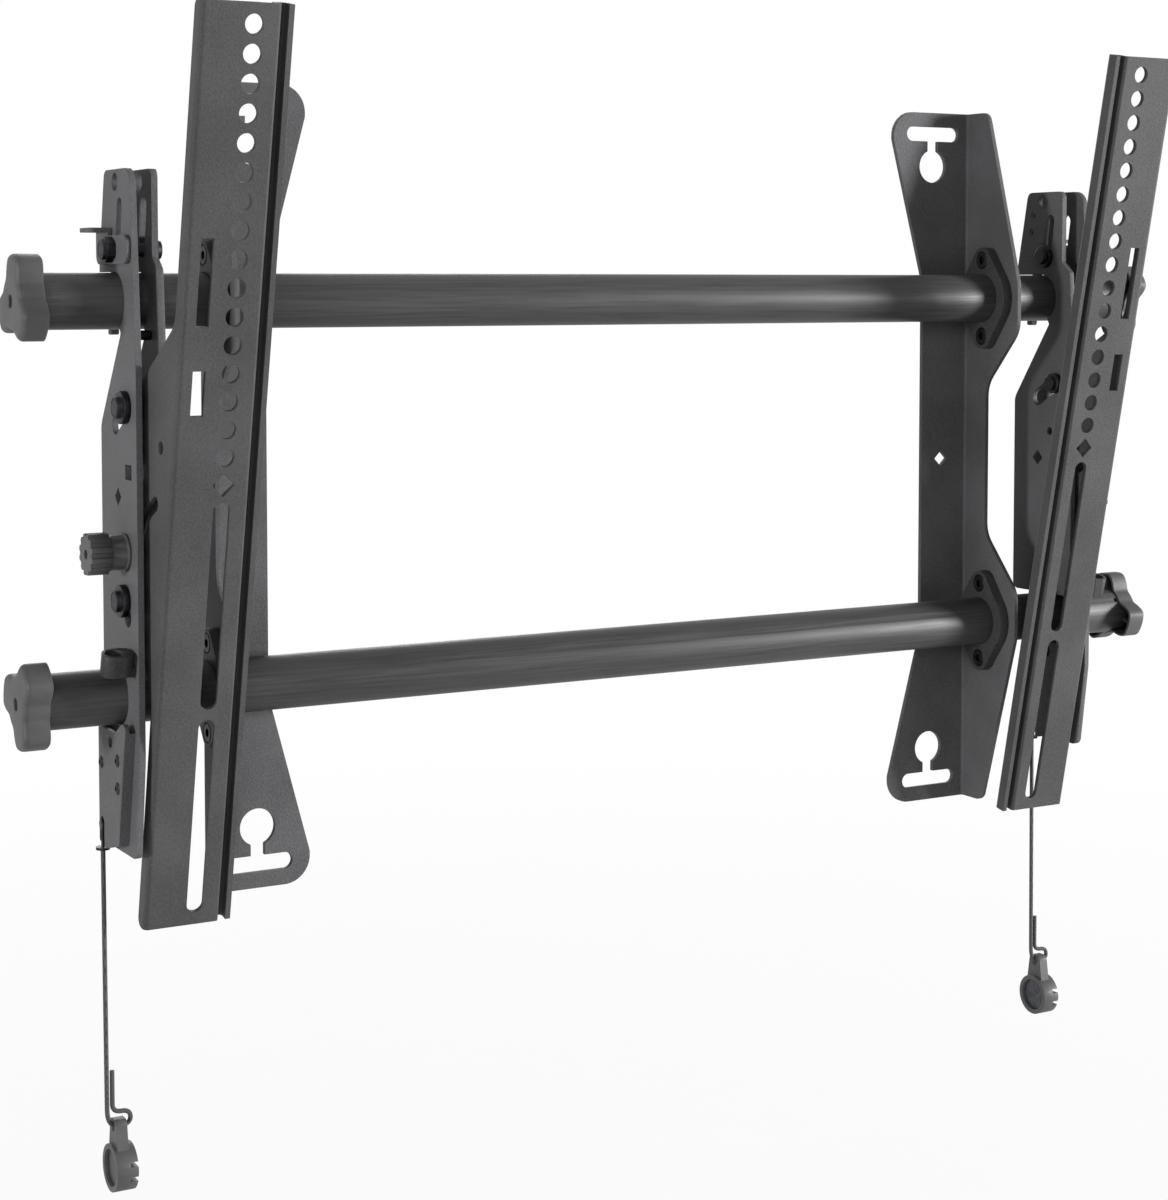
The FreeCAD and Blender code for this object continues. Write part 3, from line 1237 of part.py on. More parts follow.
def make_latch_pawl():
    """The sliding pawl: its nose rises behind the lower tube and its pin takes the pull."""
    body = new_body("latch_pawl")
    face = new_sketch(body, "YZ_Plane", PAWL_IN)
    top = f"({LATCH_Z} - tube_radius - pawl_gap)"
    nose_front = f"({TUBE_Y} + tube_radius + run_gap)"
    nose_back = f"({nose_front} + pawl_nose)"
    tip = f"({LATCH_Z} - pawl_tip)"
    knee = f"({LATCH_Z} - pawl_knee_drop)"
    hip = f"({LATCH_Z} - pawl_hip_drop)"
    bottom = f"({LATCH_Z} - pull_pin_drop - pawl_tail_end)"
    tail_front, tail_back = "(-pull_back - pawl_tail_half)", "(-pull_back + pawl_tail_half)"
    outline(face, [(nose_back, tip, "latch_round"), (nose_front, tip, "latch_round"),
                   (nose_front, top, "latch_round"), (PAWL_FRONT, top, "latch_round"),
                   (PAWL_FRONT, knee, "latch_round"), (tail_front, hip, "latch_round"),
                   (tail_front, bottom, "latch_round"), (tail_back, bottom, "latch_round"),
                   (tail_back, hip, "latch_round"), (nose_back, knee, "latch_round")])
    pad(body, face, "pawl_sheet")
    guides = new_sketch(body, "YZ_Plane", PAWL_IN)
    y, z = REAR_RIVET
    stadium(guides, (y, z), (y, f"{z} + latch_travel"), "rivet_radius + slot_gap")
    slot_front, slot_back = "-spring_front - spring_slot_half", "-spring_front + spring_slot_half"
    slot_low = f"{SPRING_LOW} - latch_wall - run_gap"
    outline(guides, [(slot_front, slot_low), (slot_back, slot_low), (slot_back, SPRING_HIGH), (slot_front, SPRING_HIGH)])
    cut_through(body, guides)
    pin = new_sketch(body, "YZ_Plane", PAWL_OUT)
    circle(pin, "-pull_back", f"{LATCH_Z} - pull_pin_drop", "pull_pin_radius")
    pad(body, pin, f"{COVER_OUT} - {PAWL_OUT} + pull_pin_end")
    on_left_faces(body, "latch_pawl")


def make_latch_spring():
    """The coil spring between the cover's seat and the top of the pawl's slot."""
    coil = doc.addObject("Part::Helix", "spring_path")
    run = "(spring_length - 2 * spring_wire - 2 * spring_gap)"
    coil.setExpression("Radius", dim("spring_radius"))
    coil.setExpression("Height", dim(run))
    coil.setExpression("Pitch", dim(f"{run} / spring_turns"))
    wire = doc.addObject("Part::Circle", "spring_wire_section")
    wire.setExpression("Radius", dim("spring_wire"))
    wire.Placement = FreeCAD.Placement(Vector(), Rotation(Vector(1, 0, 0), 90))
    wire.setExpression("Placement.Base.x", dim("spring_radius"))
    sweep = doc.addObject("Part::Sweep", "latch_spring")
    sweep.Sections = [wire]
    sweep.Spine = (coil, [])
    sweep.Solid = True
    sweep.Frenet = True
    for axis, text in zip("xyz", (f"{PLATE_OUT} + latch_gap / 2", "-spring_front",
                                  f"{SPRING_LOW} + spring_wire + spring_gap")):
        sweep.setExpression(f"Placement.Base.{axis}", dim(text))
    on_left_faces(sweep, "latch_spring")


# Pull

# The cord's route below its ferrule: down to the pull's eye, through it, and back up beside itself.
# Each point is a step inboard, a step forward and a drop from the ferrule, with its bend radius.
CORD_ROUTE = [
    (0.0, 0.0, 0.0, 0.0),
    (0.3, 0.9, 129.4, 3.0),
    (11.3, 0.9, 129.4, 3.0),
    (11.3, 0.9, 122.6, 2.9),
    (2.75, 0.9, 122.6, 2.6),
    (2.75, 0.9, 103.0, 0.0),
]


def cord_points():
    top = Vector(value(FERRULE_X), value("-pull_back"), value(CORD_TOP))
    return [top + Vector(-inboard, -forward, -drop) for inboard, forward, drop, bend in CORD_ROUTE]


def make_cord():
    """A cord of straight runs and tangent arcs, swept along its route."""
    points = cord_points()
    bends = [step[3] for step in CORD_ROUTE]
    edges = []
    start = points[0]
    for i in range(1, len(points) - 1):
        corner = points[i]
        back = (points[i - 1] - corner).normalize()
        ahead = (points[i + 1] - corner).normalize()
        half = back.getAngle(ahead) / 2
        run = bends[i] / math.tan(half)
        middle = (back + ahead).normalize()
        crown = corner + middle * (bends[i] / math.sin(half) - bends[i])
        edges.append(Part.LineSegment(start, corner + back * run).toShape())
        edges.append(Part.Arc(corner + back * run, crown, corner + ahead * run).toShape())
        start = corner + ahead * run
        print(f"cord bend {i}: radius {bends[i]:.1f} mm")
    edges.append(Part.LineSegment(start, points[-1]).toShape())
    path = Part.Wire(edges)
    radius = value("cord_radius")
    heading = (points[1] - points[0]).normalize()
    section = Part.Wire(Part.makeCircle(radius, points[0], heading))
    cord = doc.addObject("Part::Feature", "pull_cord")
    cord.Shape = path.makePipeShell([section], True, True)
    expected = math.pi * radius ** 2 * path.Length
    print(f"cord length {path.Length:.1f} mm, volume over section times length {cord.Shape.Volume / expected:.4f}")
    on_left_faces(cord, "pull_cord")


def make_ferrule():
    """The cord's crimp: a flange, a stem and a ring that hangs on the pawl's pin."""
    ring_z = f"({LATCH_Z} - pull_pin_drop)"
    ring_in, ring_out = f"({FERRULE_X} - ferrule_half)", f"({FERRULE_X} + ferrule_half)"
    ring_radius = "(pull_pin_radius + ferrule_ring)"
    flange_top = f"({CORD_TOP} + ferrule_flange)"
    ring = rod("ferrule_ring_disc", ring_in, ring_out, "-pull_back", ring_z, ring_radius)
    hole = rod("ferrule_hole", ring_in, ring_out, "-pull_back", ring_z, "pull_pin_radius + bolt_fit")
    flange = upright_rod("ferrule_disc", FERRULE_X, "-pull_back", CORD_TOP, flange_top, "ferrule_radius")
    stem = upright_rod("ferrule_rod", FERRULE_X, "-pull_back", flange_top,
                       f"({ring_z} - {ring_radius} + ferrule_ring / 2)", "ferrule_stem")
    on_left_faces(cut("cord_ferrule", fuse("ferrule_solid", ring, flange, stem), hole), "cord_ferrule")


def make_pull_tab():
    """The moulded pull: an eye at the neck, a magnet cup and two grip slots."""
    body = new_body("pull_tab")
    inboard, forward, drop, bend = CORD_ROUTE[1]
    eye_z = f"({CORD_TOP} - {drop})"
    eye_y = f"(-pull_back - {forward})"
    cup_z = f"({eye_z} - pull_drop)"
    neck_out = f"({FERRULE_X} - pull_neck_inset)"
    neck_in = f"({neck_out} - pull_neck)"
    cup_in = f"({neck_out} + pull_cup_lead - pull_cup_depth)"
    neck = new_sketch(body, "YZ_Plane", neck_in)
    neck_top = f"{eye_z} + pull_neck_rise"
    outline(neck, [(f"{eye_y} - pull_neck_half", neck_top, "pull_neck_round"), (f"{eye_y} - pull_hip_half", cup_z),
                   (f"{eye_y} + pull_hip_half", cup_z), (f"{eye_y} + pull_neck_half", neck_top, "pull_neck_round")])
    pad(body, neck, "pull_neck")
    cup = new_sketch(body, "YZ_Plane", cup_in)
    circle(cup, eye_y, cup_z, "pull_cup_radius")
    pad(body, cup, "pull_cup_depth")
    eye = new_sketch(body, "YZ_Plane", neck_in)
    circle(eye, eye_y, eye_z, "pull_eye_hole")
    cut_through(body, eye)
    seat = new_sketch(body, "YZ_Plane", f"{cup_in} + pull_cup_depth")
    circle(seat, eye_y, cup_z, "magnet_radius + magnet_fit")
    cut_blind(body, seat, "magnet_depth + magnet_sink")
    slots = new_sketch(body, "XZ_Plane", f"-({eye_y})")
    open_end, blind_end = f"{cup_in} - grip_depth", f"{cup_in} + grip_depth"
    for step in ("+ grip_pitch / 2", "- grip_pitch / 2"):
        low, high = f"{cup_z} {step} - grip_width / 2", f"{cup_z} {step} + grip_width / 2"
        outline(slots, [(open_end, low), (blind_end, low), (blind_end, high), (open_end, high)])
    cut_through(body, slots)
    on_left_faces(body, "pull_tab")
    magnet_in = f"({cup_in} + pull_cup_depth - magnet_depth - magnet_sink)"
    magnet = rod("pull_magnet", magnet_in, f"({magnet_in} + magnet_depth)", eye_y, cup_z, "magnet_radius")
    on_left_faces(magnet, "pull_magnet")


make_tube("upper_tube", TUBE_Z)
make_tube("lower_tube", LATCH_Z, pinned=True)
for word, tube_z in (("upper", TUBE_Z), ("lower", LATCH_Z)):
    make_cap(f"right_{word}_cap", "frame_width / 2", tube_z, 0, f"cap_turn_{word}_right")
    make_cap(f"left_{word}_cap", "-frame_width / 2", tube_z, 180, f"cap_turn_{word}_left")
    make_collar(f"{word}_collar", tube_z)
make_upright()
make_collar_screws()
make_outer_plate()
make_inner_plate()
make_plate_spacers()
make_knob_stud()
make_knob_collar()
make_knob()
make_lock_eye()
make_lock_slider()
make_lock_bolt()
make_lock_nut()
make_lock_tab()
make_rail()
make_tilt_fasteners()
make_latch_cover()
make_latch_rivets()
make_latch_pawl()
make_latch_spring()
make_cord()
make_ferrule()
make_pull_tab()

doc.recompute()
for item in doc.Objects:
    if "Invalid" in item.State or "Error" in item.State:
        raise RuntimeError(f"{item.Label} failed to compute: {item.State}")
for item in parts:
    if item.Shape.isNull() or not item.Shape.isValid() or not item.Shape.Solids:
        raise RuntimeError(f"{item.Label} has no valid solid")

os.makedirs("parts", exist_ok=True)
for item in parts:
    item.Shape.exportStep(f"parts/{item.Label}.step")
print(f"wrote {len(parts)} sub-parts")
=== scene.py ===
# %% [markdown]
# A wall mount for a flat display, dressed in Blender round its CAD parts.
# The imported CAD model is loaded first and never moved: it fixes every size and place.
# This file only adds finishes, softened edges, and the pieces that CAD draws too plainly.

# %% Load the CAD frame
import json
import math

import bmesh
import bpy
from mathutils import Matrix, Vector


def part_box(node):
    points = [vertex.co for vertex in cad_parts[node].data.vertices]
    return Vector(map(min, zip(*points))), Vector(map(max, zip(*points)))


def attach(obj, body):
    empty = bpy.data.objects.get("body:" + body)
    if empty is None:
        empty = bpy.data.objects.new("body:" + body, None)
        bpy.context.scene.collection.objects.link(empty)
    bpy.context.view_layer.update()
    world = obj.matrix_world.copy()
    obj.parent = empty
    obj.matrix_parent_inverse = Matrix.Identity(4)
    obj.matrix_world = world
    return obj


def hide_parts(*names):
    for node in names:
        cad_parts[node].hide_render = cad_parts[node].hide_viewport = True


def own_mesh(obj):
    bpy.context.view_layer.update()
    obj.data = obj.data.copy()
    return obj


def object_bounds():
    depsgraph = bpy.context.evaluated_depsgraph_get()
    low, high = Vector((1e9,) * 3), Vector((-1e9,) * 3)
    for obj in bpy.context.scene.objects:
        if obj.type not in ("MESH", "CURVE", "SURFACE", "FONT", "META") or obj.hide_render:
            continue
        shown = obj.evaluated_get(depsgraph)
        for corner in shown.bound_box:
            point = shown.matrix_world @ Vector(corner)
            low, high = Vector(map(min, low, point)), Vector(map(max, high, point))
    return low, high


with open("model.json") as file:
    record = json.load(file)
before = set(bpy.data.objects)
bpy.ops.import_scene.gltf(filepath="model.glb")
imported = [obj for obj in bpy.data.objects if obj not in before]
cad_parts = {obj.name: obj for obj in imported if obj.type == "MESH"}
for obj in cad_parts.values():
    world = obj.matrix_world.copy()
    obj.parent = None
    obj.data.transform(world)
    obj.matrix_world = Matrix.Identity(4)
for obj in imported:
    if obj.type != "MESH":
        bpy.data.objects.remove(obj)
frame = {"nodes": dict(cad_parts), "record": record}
nodes = frame["nodes"]
cad_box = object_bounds()
MM = 0.001
SIDES = ("left", "right")
print("nodes loaded:", len(nodes), "box", [round(x, 4) for x in (*cad_box[0], *cad_box[1])])

# %% [markdown]
# The photograph was taken a little from the left, level with the upper tube, and its verticals stay upright.
# A camera that looks slightly down and is shifted a little gives the same picture within a few pixels,
# and keeps the object inside the frame when the camera is moved round it for other views.

# %% Camera
camera_data = bpy.data.cameras.new("photo_camera")
camera = bpy.data.objects.new("photo_camera", camera_data)
bpy.context.scene.collection.objects.link(camera)
bpy.context.scene.camera = camera
CAMERA_YAW = math.radians(29.579)
CAMERA_PITCH = math.radians(-3.219)
camera_data.lens = 71.603
camera_data.sensor_width = 36.0
camera_data.shift_y = -0.15
camera_data.clip_start = 0.05
camera_data.clip_end = 30.0
camera.location = (-0.61998, -1.05753, 0.09595)
camera.rotation_euler = (math.pi / 2 + CAMERA_PITCH, 0.0, -CAMERA_YAW)
print("camera at", tuple(round(x, 3) for x in camera.location))

# %% [markdown]
# Two thin cords hang from the latches. Each goes down to its pull, through the pull's eye, and back up beside
# itself for a short tail. A smooth spline through the CAD route's corners gives a cord's easy bends.
# Points added close to the two corners keep the long runs straight, as the weight of the pull does.
# Both latches sit on the left face of their plate, so the two cords are alike and not mirrored.

# %% Cords
CORD_DIAMETER = 2.2 * MM
CORD_TOP = {"left": -279.1, "right": 266.9}
CORD_ROUTE = [
    (0.0, -11.8, -161.1),
    (0.24, -12.5, -274.0),
    (0.3, -12.7, -290.5),
    (11.3, -12.7, -290.5),
    (11.3, -12.7, -283.7),
    (2.75, -12.7, -283.7),
    (2.75, -12.7, -276.0),
    (2.75, -12.7, -264.1),
]
cords = {}
for side in SIDES:
    data = bpy.data.curves.new(f"{side}_cord", "CURVE")
    data.dimensions = "3D"
    data.bevel_depth = CORD_DIAMETER / 2
    data.bevel_resolution = 4
    data.resolution_u = 24
    data.use_fill_caps = True
    spline = data.splines.new("NURBS")
    spline.points.add(len(CORD_ROUTE) - 1)
    for point, (step, y, z) in zip(spline.points, CORD_ROUTE):
        point.co = ((CORD_TOP[side] + step) * MM, y * MM, z * MM, 1.0)
    spline.order_u = 3
    spline.use_endpoint_u = True
    cord = bpy.data.objects.new(f"{side}_cord", data)
    bpy.context.scene.collection.objects.link(cord)
    cords[side] = cord
    print(f"{side} cord: {spline.calc_length() * 1000:.1f} mm")

# %% [markdown]
# Colours are written as sRGB hex values, as a paint chart gives them, and turned to linear light once, here.
# One small helper adds a node, sets its values and links its inputs. It serves finishes and shapes alike.

# %% Colour and node helpers
MIX_FACTOR, MIX_FIRST, MIX_SECOND, MIX_RESULT = 0, 6, 7, 2


def srgb(code):
    """A hex colour as linear red, green, blue and alpha."""
    channels = [int(code[i:i + 2], 16) / 255 for i in (0, 2, 4)]
    linear = [c / 12.92 if c <= 0.04045 else ((c + 0.055) / 1.055) ** 2.4 for c in channels]
    return (*linear, 1.0)


def add(tree, kind, inputs=None, **settings):
    """Add a node, set its properties, and fill its inputs with values or links."""
    node = tree.nodes.new(kind)
    for name, setting in settings.items():
        setattr(node, name, setting)
    for name, given in (inputs or {}).items():
        socket = node.inputs[name]
        for value in given if isinstance(given, list) else [given]:
            if isinstance(value, bpy.types.NodeSocket):
                tree.links.new(value, socket)
            else:
                socket.default_value = value
    return node


def new_material(name):
    """A material with an empty node tree, and that tree."""
    material = bpy.data.materials.new(name)
    material.use_nodes = True
    tree = material.node_tree
    tree.nodes.clear()
    return material, tree


print("white in linear light:", srgb("ffffff"))

# %% [markdown]
# The plates, rails and uprights are sheet steel with a black powder coat. The powder melts into a fine,
# bumpy skin, so a lit face has a soft, grainy sheen and never a sharp reflection.
# The grain of the real coat is about half a millimetre, under the size of a pixel here, so it is drawn a
# little coarser. A larger, faint cloud stands for the uneven thickness of a sprayed coat.
# The rails look a little darker than the wall plates in the photograph, so they take a darker copy of the same coat:
# painted shade.

# %% Powder-coated steel
COAT_CLOUD_MM = 45.0
COAT_RELIEF = 0.3 * MM


def powder_coat(name, dark, light, grain_mm, gloss, rough_low, rough_high):
    """A grainy coat between two colours and two roughnesses."""
    material, tree = new_material(name)
    place = add(tree, "ShaderNodeTexCoord").outputs["Object"]
    grain = add(tree, "ShaderNodeTexNoise", {"Vector": place, "Scale": 1000 / grain_mm, "Detail": 2.0,
                                             "Roughness": 0.6})
    cloud = add(tree, "ShaderNodeTexNoise", {"Vector": place, "Scale": 1000 / COAT_CLOUD_MM, "Detail": 3.0})
    both = add(tree, "ShaderNodeMath", {0: grain.outputs["Fac"], 1: cloud.outputs["Fac"]}, operation="ADD")
    shade = add(tree, "ShaderNodeMapRange", {"Value": both.outputs["Value"], "From Min": 0.75, "From Max": 1.25})
    colour = add(tree, "ShaderNodeMix", {MIX_FACTOR: shade.outputs["Result"], MIX_FIRST: srgb(dark),
                                         MIX_SECOND: srgb(light)}, data_type="RGBA")
    rough = add(tree, "ShaderNodeMapRange", {"Value": cloud.outputs["Fac"], "From Min": 0.3, "From Max": 0.7,
                                             "To Min": rough_low, "To Max": rough_high})
    relief = add(tree, "ShaderNodeBump", {"Height": grain.outputs["Fac"], "Strength": 0.7,
                                          "Distance": COAT_RELIEF})
    shader = add(tree, "ShaderNodeBsdfPrincipled",
                 {"Base Color": colour.outputs[MIX_RESULT], "Roughness": rough.outputs["Result"],
                  "Normal": relief.outputs["Normal"], "IOR": 1.5, "Specular IOR Level": gloss})
    add(tree, "ShaderNodeOutputMaterial", {"Surface": shader.outputs["BSDF"]})
    return material


sheet_coat = powder_coat("powder_coated_sheet_steel", dark="474748", light="58585a", grain_mm=0.9, gloss=0.08,
                         rough_low=0.5, rough_high=0.62)
# painted shade: the rails get a darker copy of the sheet coat for their shaded tone
rail_painted_shade_coat = powder_coat("powder_coated_rail_painted_shade", dark="3b3b3c", light="49494a", grain_mm=0.9, gloss=0.08,
                        rough_low=0.5, rough_high=0.62)
casting_coat = powder_coat("powder_coated_casting", dark="2c2c2d", light="3c3c3d", grain_mm=1.1, gloss=0.15,
                           rough_low=0.44, rough_high=0.56)
print("coats:", sheet_coat.name, rail_painted_shade_coat.name, casting_coat.name)

# %% [markdown]
# The tubes are drawn steel with a smoother satin coat. Drawing leaves faint streaks along the tube,
# and the coat shows them as thin changes of gloss, so the pattern is stretched along X.

# %% Satin tube
STREAK_LENGTH_MM, STREAK_WIDTH_MM = 40.0, 1.1
TUBE_GRAIN_MM = 0.9
TUBE_RELIEF = 0.12 * MM
tube_coat, tree = new_material("satin_coated_tube")
place = add(tree, "ShaderNodeTexCoord").outputs["Object"]
narrow = 1000 / STREAK_WIDTH_MM
stretched = add(tree, "ShaderNodeMapping", {"Vector": place, "Scale": (1000 / STREAK_LENGTH_MM, narrow, narrow)})
streak = add(tree, "ShaderNodeTexNoise", {"Vector": stretched.outputs["Vector"], "Scale": 1.0, "Detail": 3.0})
grain = add(tree, "ShaderNodeTexNoise", {"Vector": place, "Scale": 1000 / TUBE_GRAIN_MM, "Detail": 2.0})
shade = add(tree, "ShaderNodeMapRange", {"Value": streak.outputs["Fac"], "From Min": 0.3, "From Max": 0.7})
colour = add(tree, "ShaderNodeMix", {MIX_FACTOR: shade.outputs["Result"], MIX_FIRST: srgb("2e2e2f"),
                                     MIX_SECOND: srgb("3d3d3e")}, data_type="RGBA")
rough = add(tree, "ShaderNodeMapRange", {"Value": streak.outputs["Fac"], "From Min": 0.3, "From Max": 0.7,
                                         "To Min": 0.42, "To Max": 0.54})
relief = add(tree, "ShaderNodeBump", {"Height": grain.outputs["Fac"], "Strength": 0.5, "Distance": TUBE_RELIEF})
shader = add(tree, "ShaderNodeBsdfPrincipled",
             {"Base Color": colour.outputs[MIX_RESULT], "Roughness": rough.outputs["Result"],
              "Normal": relief.outputs["Normal"], "IOR": 1.5, "Specular IOR Level": 0.22})
add(tree, "ShaderNodeOutputMaterial", {"Surface": shader.outputs["BSDF"]})
print("tube finish:", tube_coat.name)

# %% [markdown]
# The caps, knobs and pulls are moulded ABS. The mould is spark-eroded, so the surface is an even, very fine
# matt grain, a little greyer than the coat. The pits are drawn at 0.7 mm, coarser than real, so that they show.

# %% Moulded plastic
PIT_MM, PLASTIC_CLOUD_MM = 0.7, 15.0
PIT_RELIEF = 0.08 * MM
plastic, tree = new_material("moulded_abs")
place = add(tree, "ShaderNodeTexCoord").outputs["Object"]
pits = add(tree, "ShaderNodeTexVoronoi", {"Vector": place, "Scale": 1000 / PIT_MM})
cloud = add(tree, "ShaderNodeTexNoise", {"Vector": place, "Scale": 1000 / PLASTIC_CLOUD_MM, "Detail": 2.0})
shade = add(tree, "ShaderNodeMapRange", {"Value": cloud.outputs["Fac"], "From Min": 0.3, "From Max": 0.7})
colour = add(tree, "ShaderNodeMix", {MIX_FACTOR: shade.outputs["Result"], MIX_FIRST: srgb("3e3e3f"),
                                     MIX_SECOND: srgb("4a4a4b")}, data_type="RGBA")
rough = add(tree, "ShaderNodeMapRange", {"Value": pits.outputs["Distance"], "From Max": 0.6,
                                         "To Min": 0.42, "To Max": 0.58})
relief = add(tree, "ShaderNodeBump", {"Height": pits.outputs["Distance"], "Strength": 0.25,
                                      "Distance": PIT_RELIEF})
shader = add(tree, "ShaderNodeBsdfPrincipled",
             {"Base Color": colour.outputs[MIX_RESULT], "Roughness": rough.outputs["Result"],
              "Normal": relief.outputs["Normal"], "IOR": 1.53, "Specular IOR Level": 0.22})
add(tree, "ShaderNodeOutputMaterial", {"Surface": shader.outputs["BSDF"]})
print("plastic:", plastic.name)

# %% [markdown]
# Bolts, nuts and screws are steel with a black oxide finish, a thin oily layer that is darker than bare steel
# and shinier than the coat. The spring is oiled wire and the magnet is dull plated.
# Blotches of about 3 mm vary the layer's depth and gloss.

# %% Dark steels
BLOTCH_MM = 3.0


def dark_steel(name, dark, light, rough_low, rough_high):
    """A blotchy dark metal between two colours and two roughnesses."""
    material, tree = new_material(name)
    place = add(tree, "ShaderNodeTexCoord").outputs["Object"]
    blotch = add(tree, "ShaderNodeTexNoise", {"Vector": place, "Scale": 1000 / BLOTCH_MM, "Detail": 4.0})
    shade = add(tree, "ShaderNodeMapRange", {"Value": blotch.outputs["Fac"], "From Min": 0.35, "From Max": 0.65})
    colour = add(tree, "ShaderNodeMix", {MIX_FACTOR: shade.outputs["Result"], MIX_FIRST: srgb(dark),
                                         MIX_SECOND: srgb(light)}, data_type="RGBA")
    rough = add(tree, "ShaderNodeMapRange", {"Value": blotch.outputs["Fac"], "From Min": 0.3, "From Max": 0.7,
                                             "To Min": rough_low, "To Max": rough_high})
    shader = add(tree, "ShaderNodeBsdfPrincipled",
                 {"Base Color": colour.outputs[MIX_RESULT], "Roughness": rough.outputs["Result"], "Metallic": 1.0})
    add(tree, "ShaderNodeOutputMaterial", {"Surface": shader.outputs["BSDF"]})
    return material


oxide = dark_steel("black_oxide_steel", dark="232325", light="303033", rough_low=0.42, rough_high=0.56)
wire = dark_steel("oiled_spring_wire", dark="3a3a3c", light="4e4e52", rough_low=0.25, rough_high=0.4)
plated = dark_steel("dull_plated_magnet", dark="3c3d40", light="4e4f52", rough_low=0.35, rough_high=0.5)
print("steels:", oxide.name, wire.name, plated.name)

# %% [markdown]
# The cord is braided nylon. Two sets of yarns cross at an angle; where one lies over the other it stands
# proud. Two slanted waves along and round the cord, with the higher one winning, draw that braid.
# A yarn crosses the cord every 1.4 mm, about two thirds of its thickness.

# %% Braided cord
YARNS_ROUND = 4.0
YARN_STEP_MM = 1.4
YARN_RELIEF = 0.15 * MM
braid, tree = new_material("braided_nylon")
uv = add(tree, "ShaderNodeTexCoord").outputs["UV"]
parts = add(tree, "ShaderNodeSeparateXYZ", {"Vector": uv})
yarns_along = cords["left"].data.splines[0].calc_length() / (YARN_STEP_MM * MM)
waves = []
for lean in (1.0, -1.0):
    along = add(tree, "ShaderNodeMath", {0: parts.outputs["X"], 1: yarns_along * math.tau}, operation="MULTIPLY")
    turn = add(tree, "ShaderNodeMath", {0: parts.outputs["Y"], 1: lean * YARNS_ROUND * math.tau},
               operation="MULTIPLY")
    phase = add(tree, "ShaderNodeMath", {0: along.outputs["Value"], 1: turn.outputs["Value"]}, operation="ADD")
    waves.append(add(tree, "ShaderNodeMath", {0: phase.outputs["Value"]}, operation="SINE").outputs["Value"])
yarn = add(tree, "ShaderNodeMath", {0: waves[0], 1: waves[1]}, operation="MAXIMUM")
# The colour follows the yarn height and is darker where the yarns sink: painted shade between the yarns.
colour = add(tree, "ShaderNodeMix", {MIX_FACTOR: yarn.outputs["Value"], MIX_FIRST: srgb("19191b"),
                                     MIX_SECOND: srgb("363638")}, data_type="RGBA")
relief = add(tree, "ShaderNodeBump", {"Height": yarn.outputs["Value"], "Strength": 0.6, "Distance": YARN_RELIEF})
shader = add(tree, "ShaderNodeBsdfPrincipled", {"Base Color": colour.outputs[MIX_RESULT], "Roughness": 0.7,
                                                "Sheen Weight": 0.15, "Normal": relief.outputs["Normal"]})
add(tree, "ShaderNodeOutputMaterial", {"Surface": shader.outputs["BSDF"]})
for cord in cords.values():
    cord.data.materials.append(braid)
print("cord finish:", braid.name, "yarns along", round(yarns_along))

# %% [markdown]
# Every CAD node takes the finish of its slot in the record. Folded and punched sheet has slightly rounded
# edges that catch the light, so each node also gets a narrow bevel. A CAD mesh is loose triangles, so it is
# welded and its flat faces are joined before the bevel can find the real edges.
# The rails take a darker copy of the sheet coat as painted shade. The padlock eyes look darker than the other sheet
# parts, so they take the darker casting coat.

# %% Finishes and softened edges
WELD_GAP = 0.002 * MM
FLAT_ANGLE, EDGE_ANGLE = math.radians(1.0), math.radians(40)
EDGE_SEGMENTS = 2
# Each slot has a finish and the width of its edges in millimetres.
FINISHES = {
    "frame_steel": (sheet_coat, 0.5),
    "tube_steel": (tube_coat, 0.3),
    "collar_casting": (casting_coat, 0.8),
    "moulded_plastic": (plastic, 0.4),
    "dark_fastener": (oxide, 0.3),
    "spring_steel": (wire, 0.0),
    "magnet": (plated, 0.3),
    "woven_cord": (braid, 0.0),
}
for row in frame["record"]["subparts"]:
    node = nodes[row["node"]]
    material, edge_mm = FINISHES[row["material_slot"]]
    if row["node"].endswith("lock_eye"):
        material = casting_coat
    # painted shade: the rails take the darker copy of the sheet coat
    elif row["node"].endswith("display_rail"):
        material = rail_painted_shade_coat
    node.data.materials.clear()
    node.data.materials.append(material)
    if not edge_mm:
        continue
    weld = node.modifiers.new("weld", "WELD")
    weld.merge_threshold = WELD_GAP
    join = node.modifiers.new("flat_faces", "DECIMATE")
    join.decimate_type = "DISSOLVE"
    join.angle_limit = FLAT_ANGLE
    bevel = node.modifiers.new("soft_edges", "BEVEL")
    bevel.width = edge_mm * MM
    bevel.segments = EDGE_SEGMENTS
    bevel.limit_method = "ANGLE"
    bevel.angle_limit = EDGE_ANGLE

# %% [markdown]
# Screws, rivets and springs repeat, so Geometry Nodes make them: a tree builds one from named sizes and sets it
# on each point of a small cloud. Screws and rivets face left here, so the tree turns its upright shape that way
# unless it is told another.
# The result is kept as a plain mesh, one for each body that carries it.

# %% Planting small parts on points
FACING_LEFT = (0.0, -math.pi / 2, 0.0)


def new_tree(name, sizes):
    """A tree with a cloud of points, named sizes and a finish as its inputs."""
    tree = bpy.data.node_groups.new(name, "GeometryNodeTree")
    tree.interface.new_socket("Points", in_out="INPUT", socket_type="NodeSocketGeometry")
    for size in sizes:
        tree.interface.new_socket(size, in_out="INPUT", socket_type="NodeSocketFloat")
    tree.interface.new_socket("Finish", in_out="INPUT", socket_type="NodeSocketMaterial")
    tree.interface.new_socket("Planted", in_out="OUTPUT", socket_type="NodeSocketGeometry")
    return tree, add(tree, "NodeGroupInput").outputs


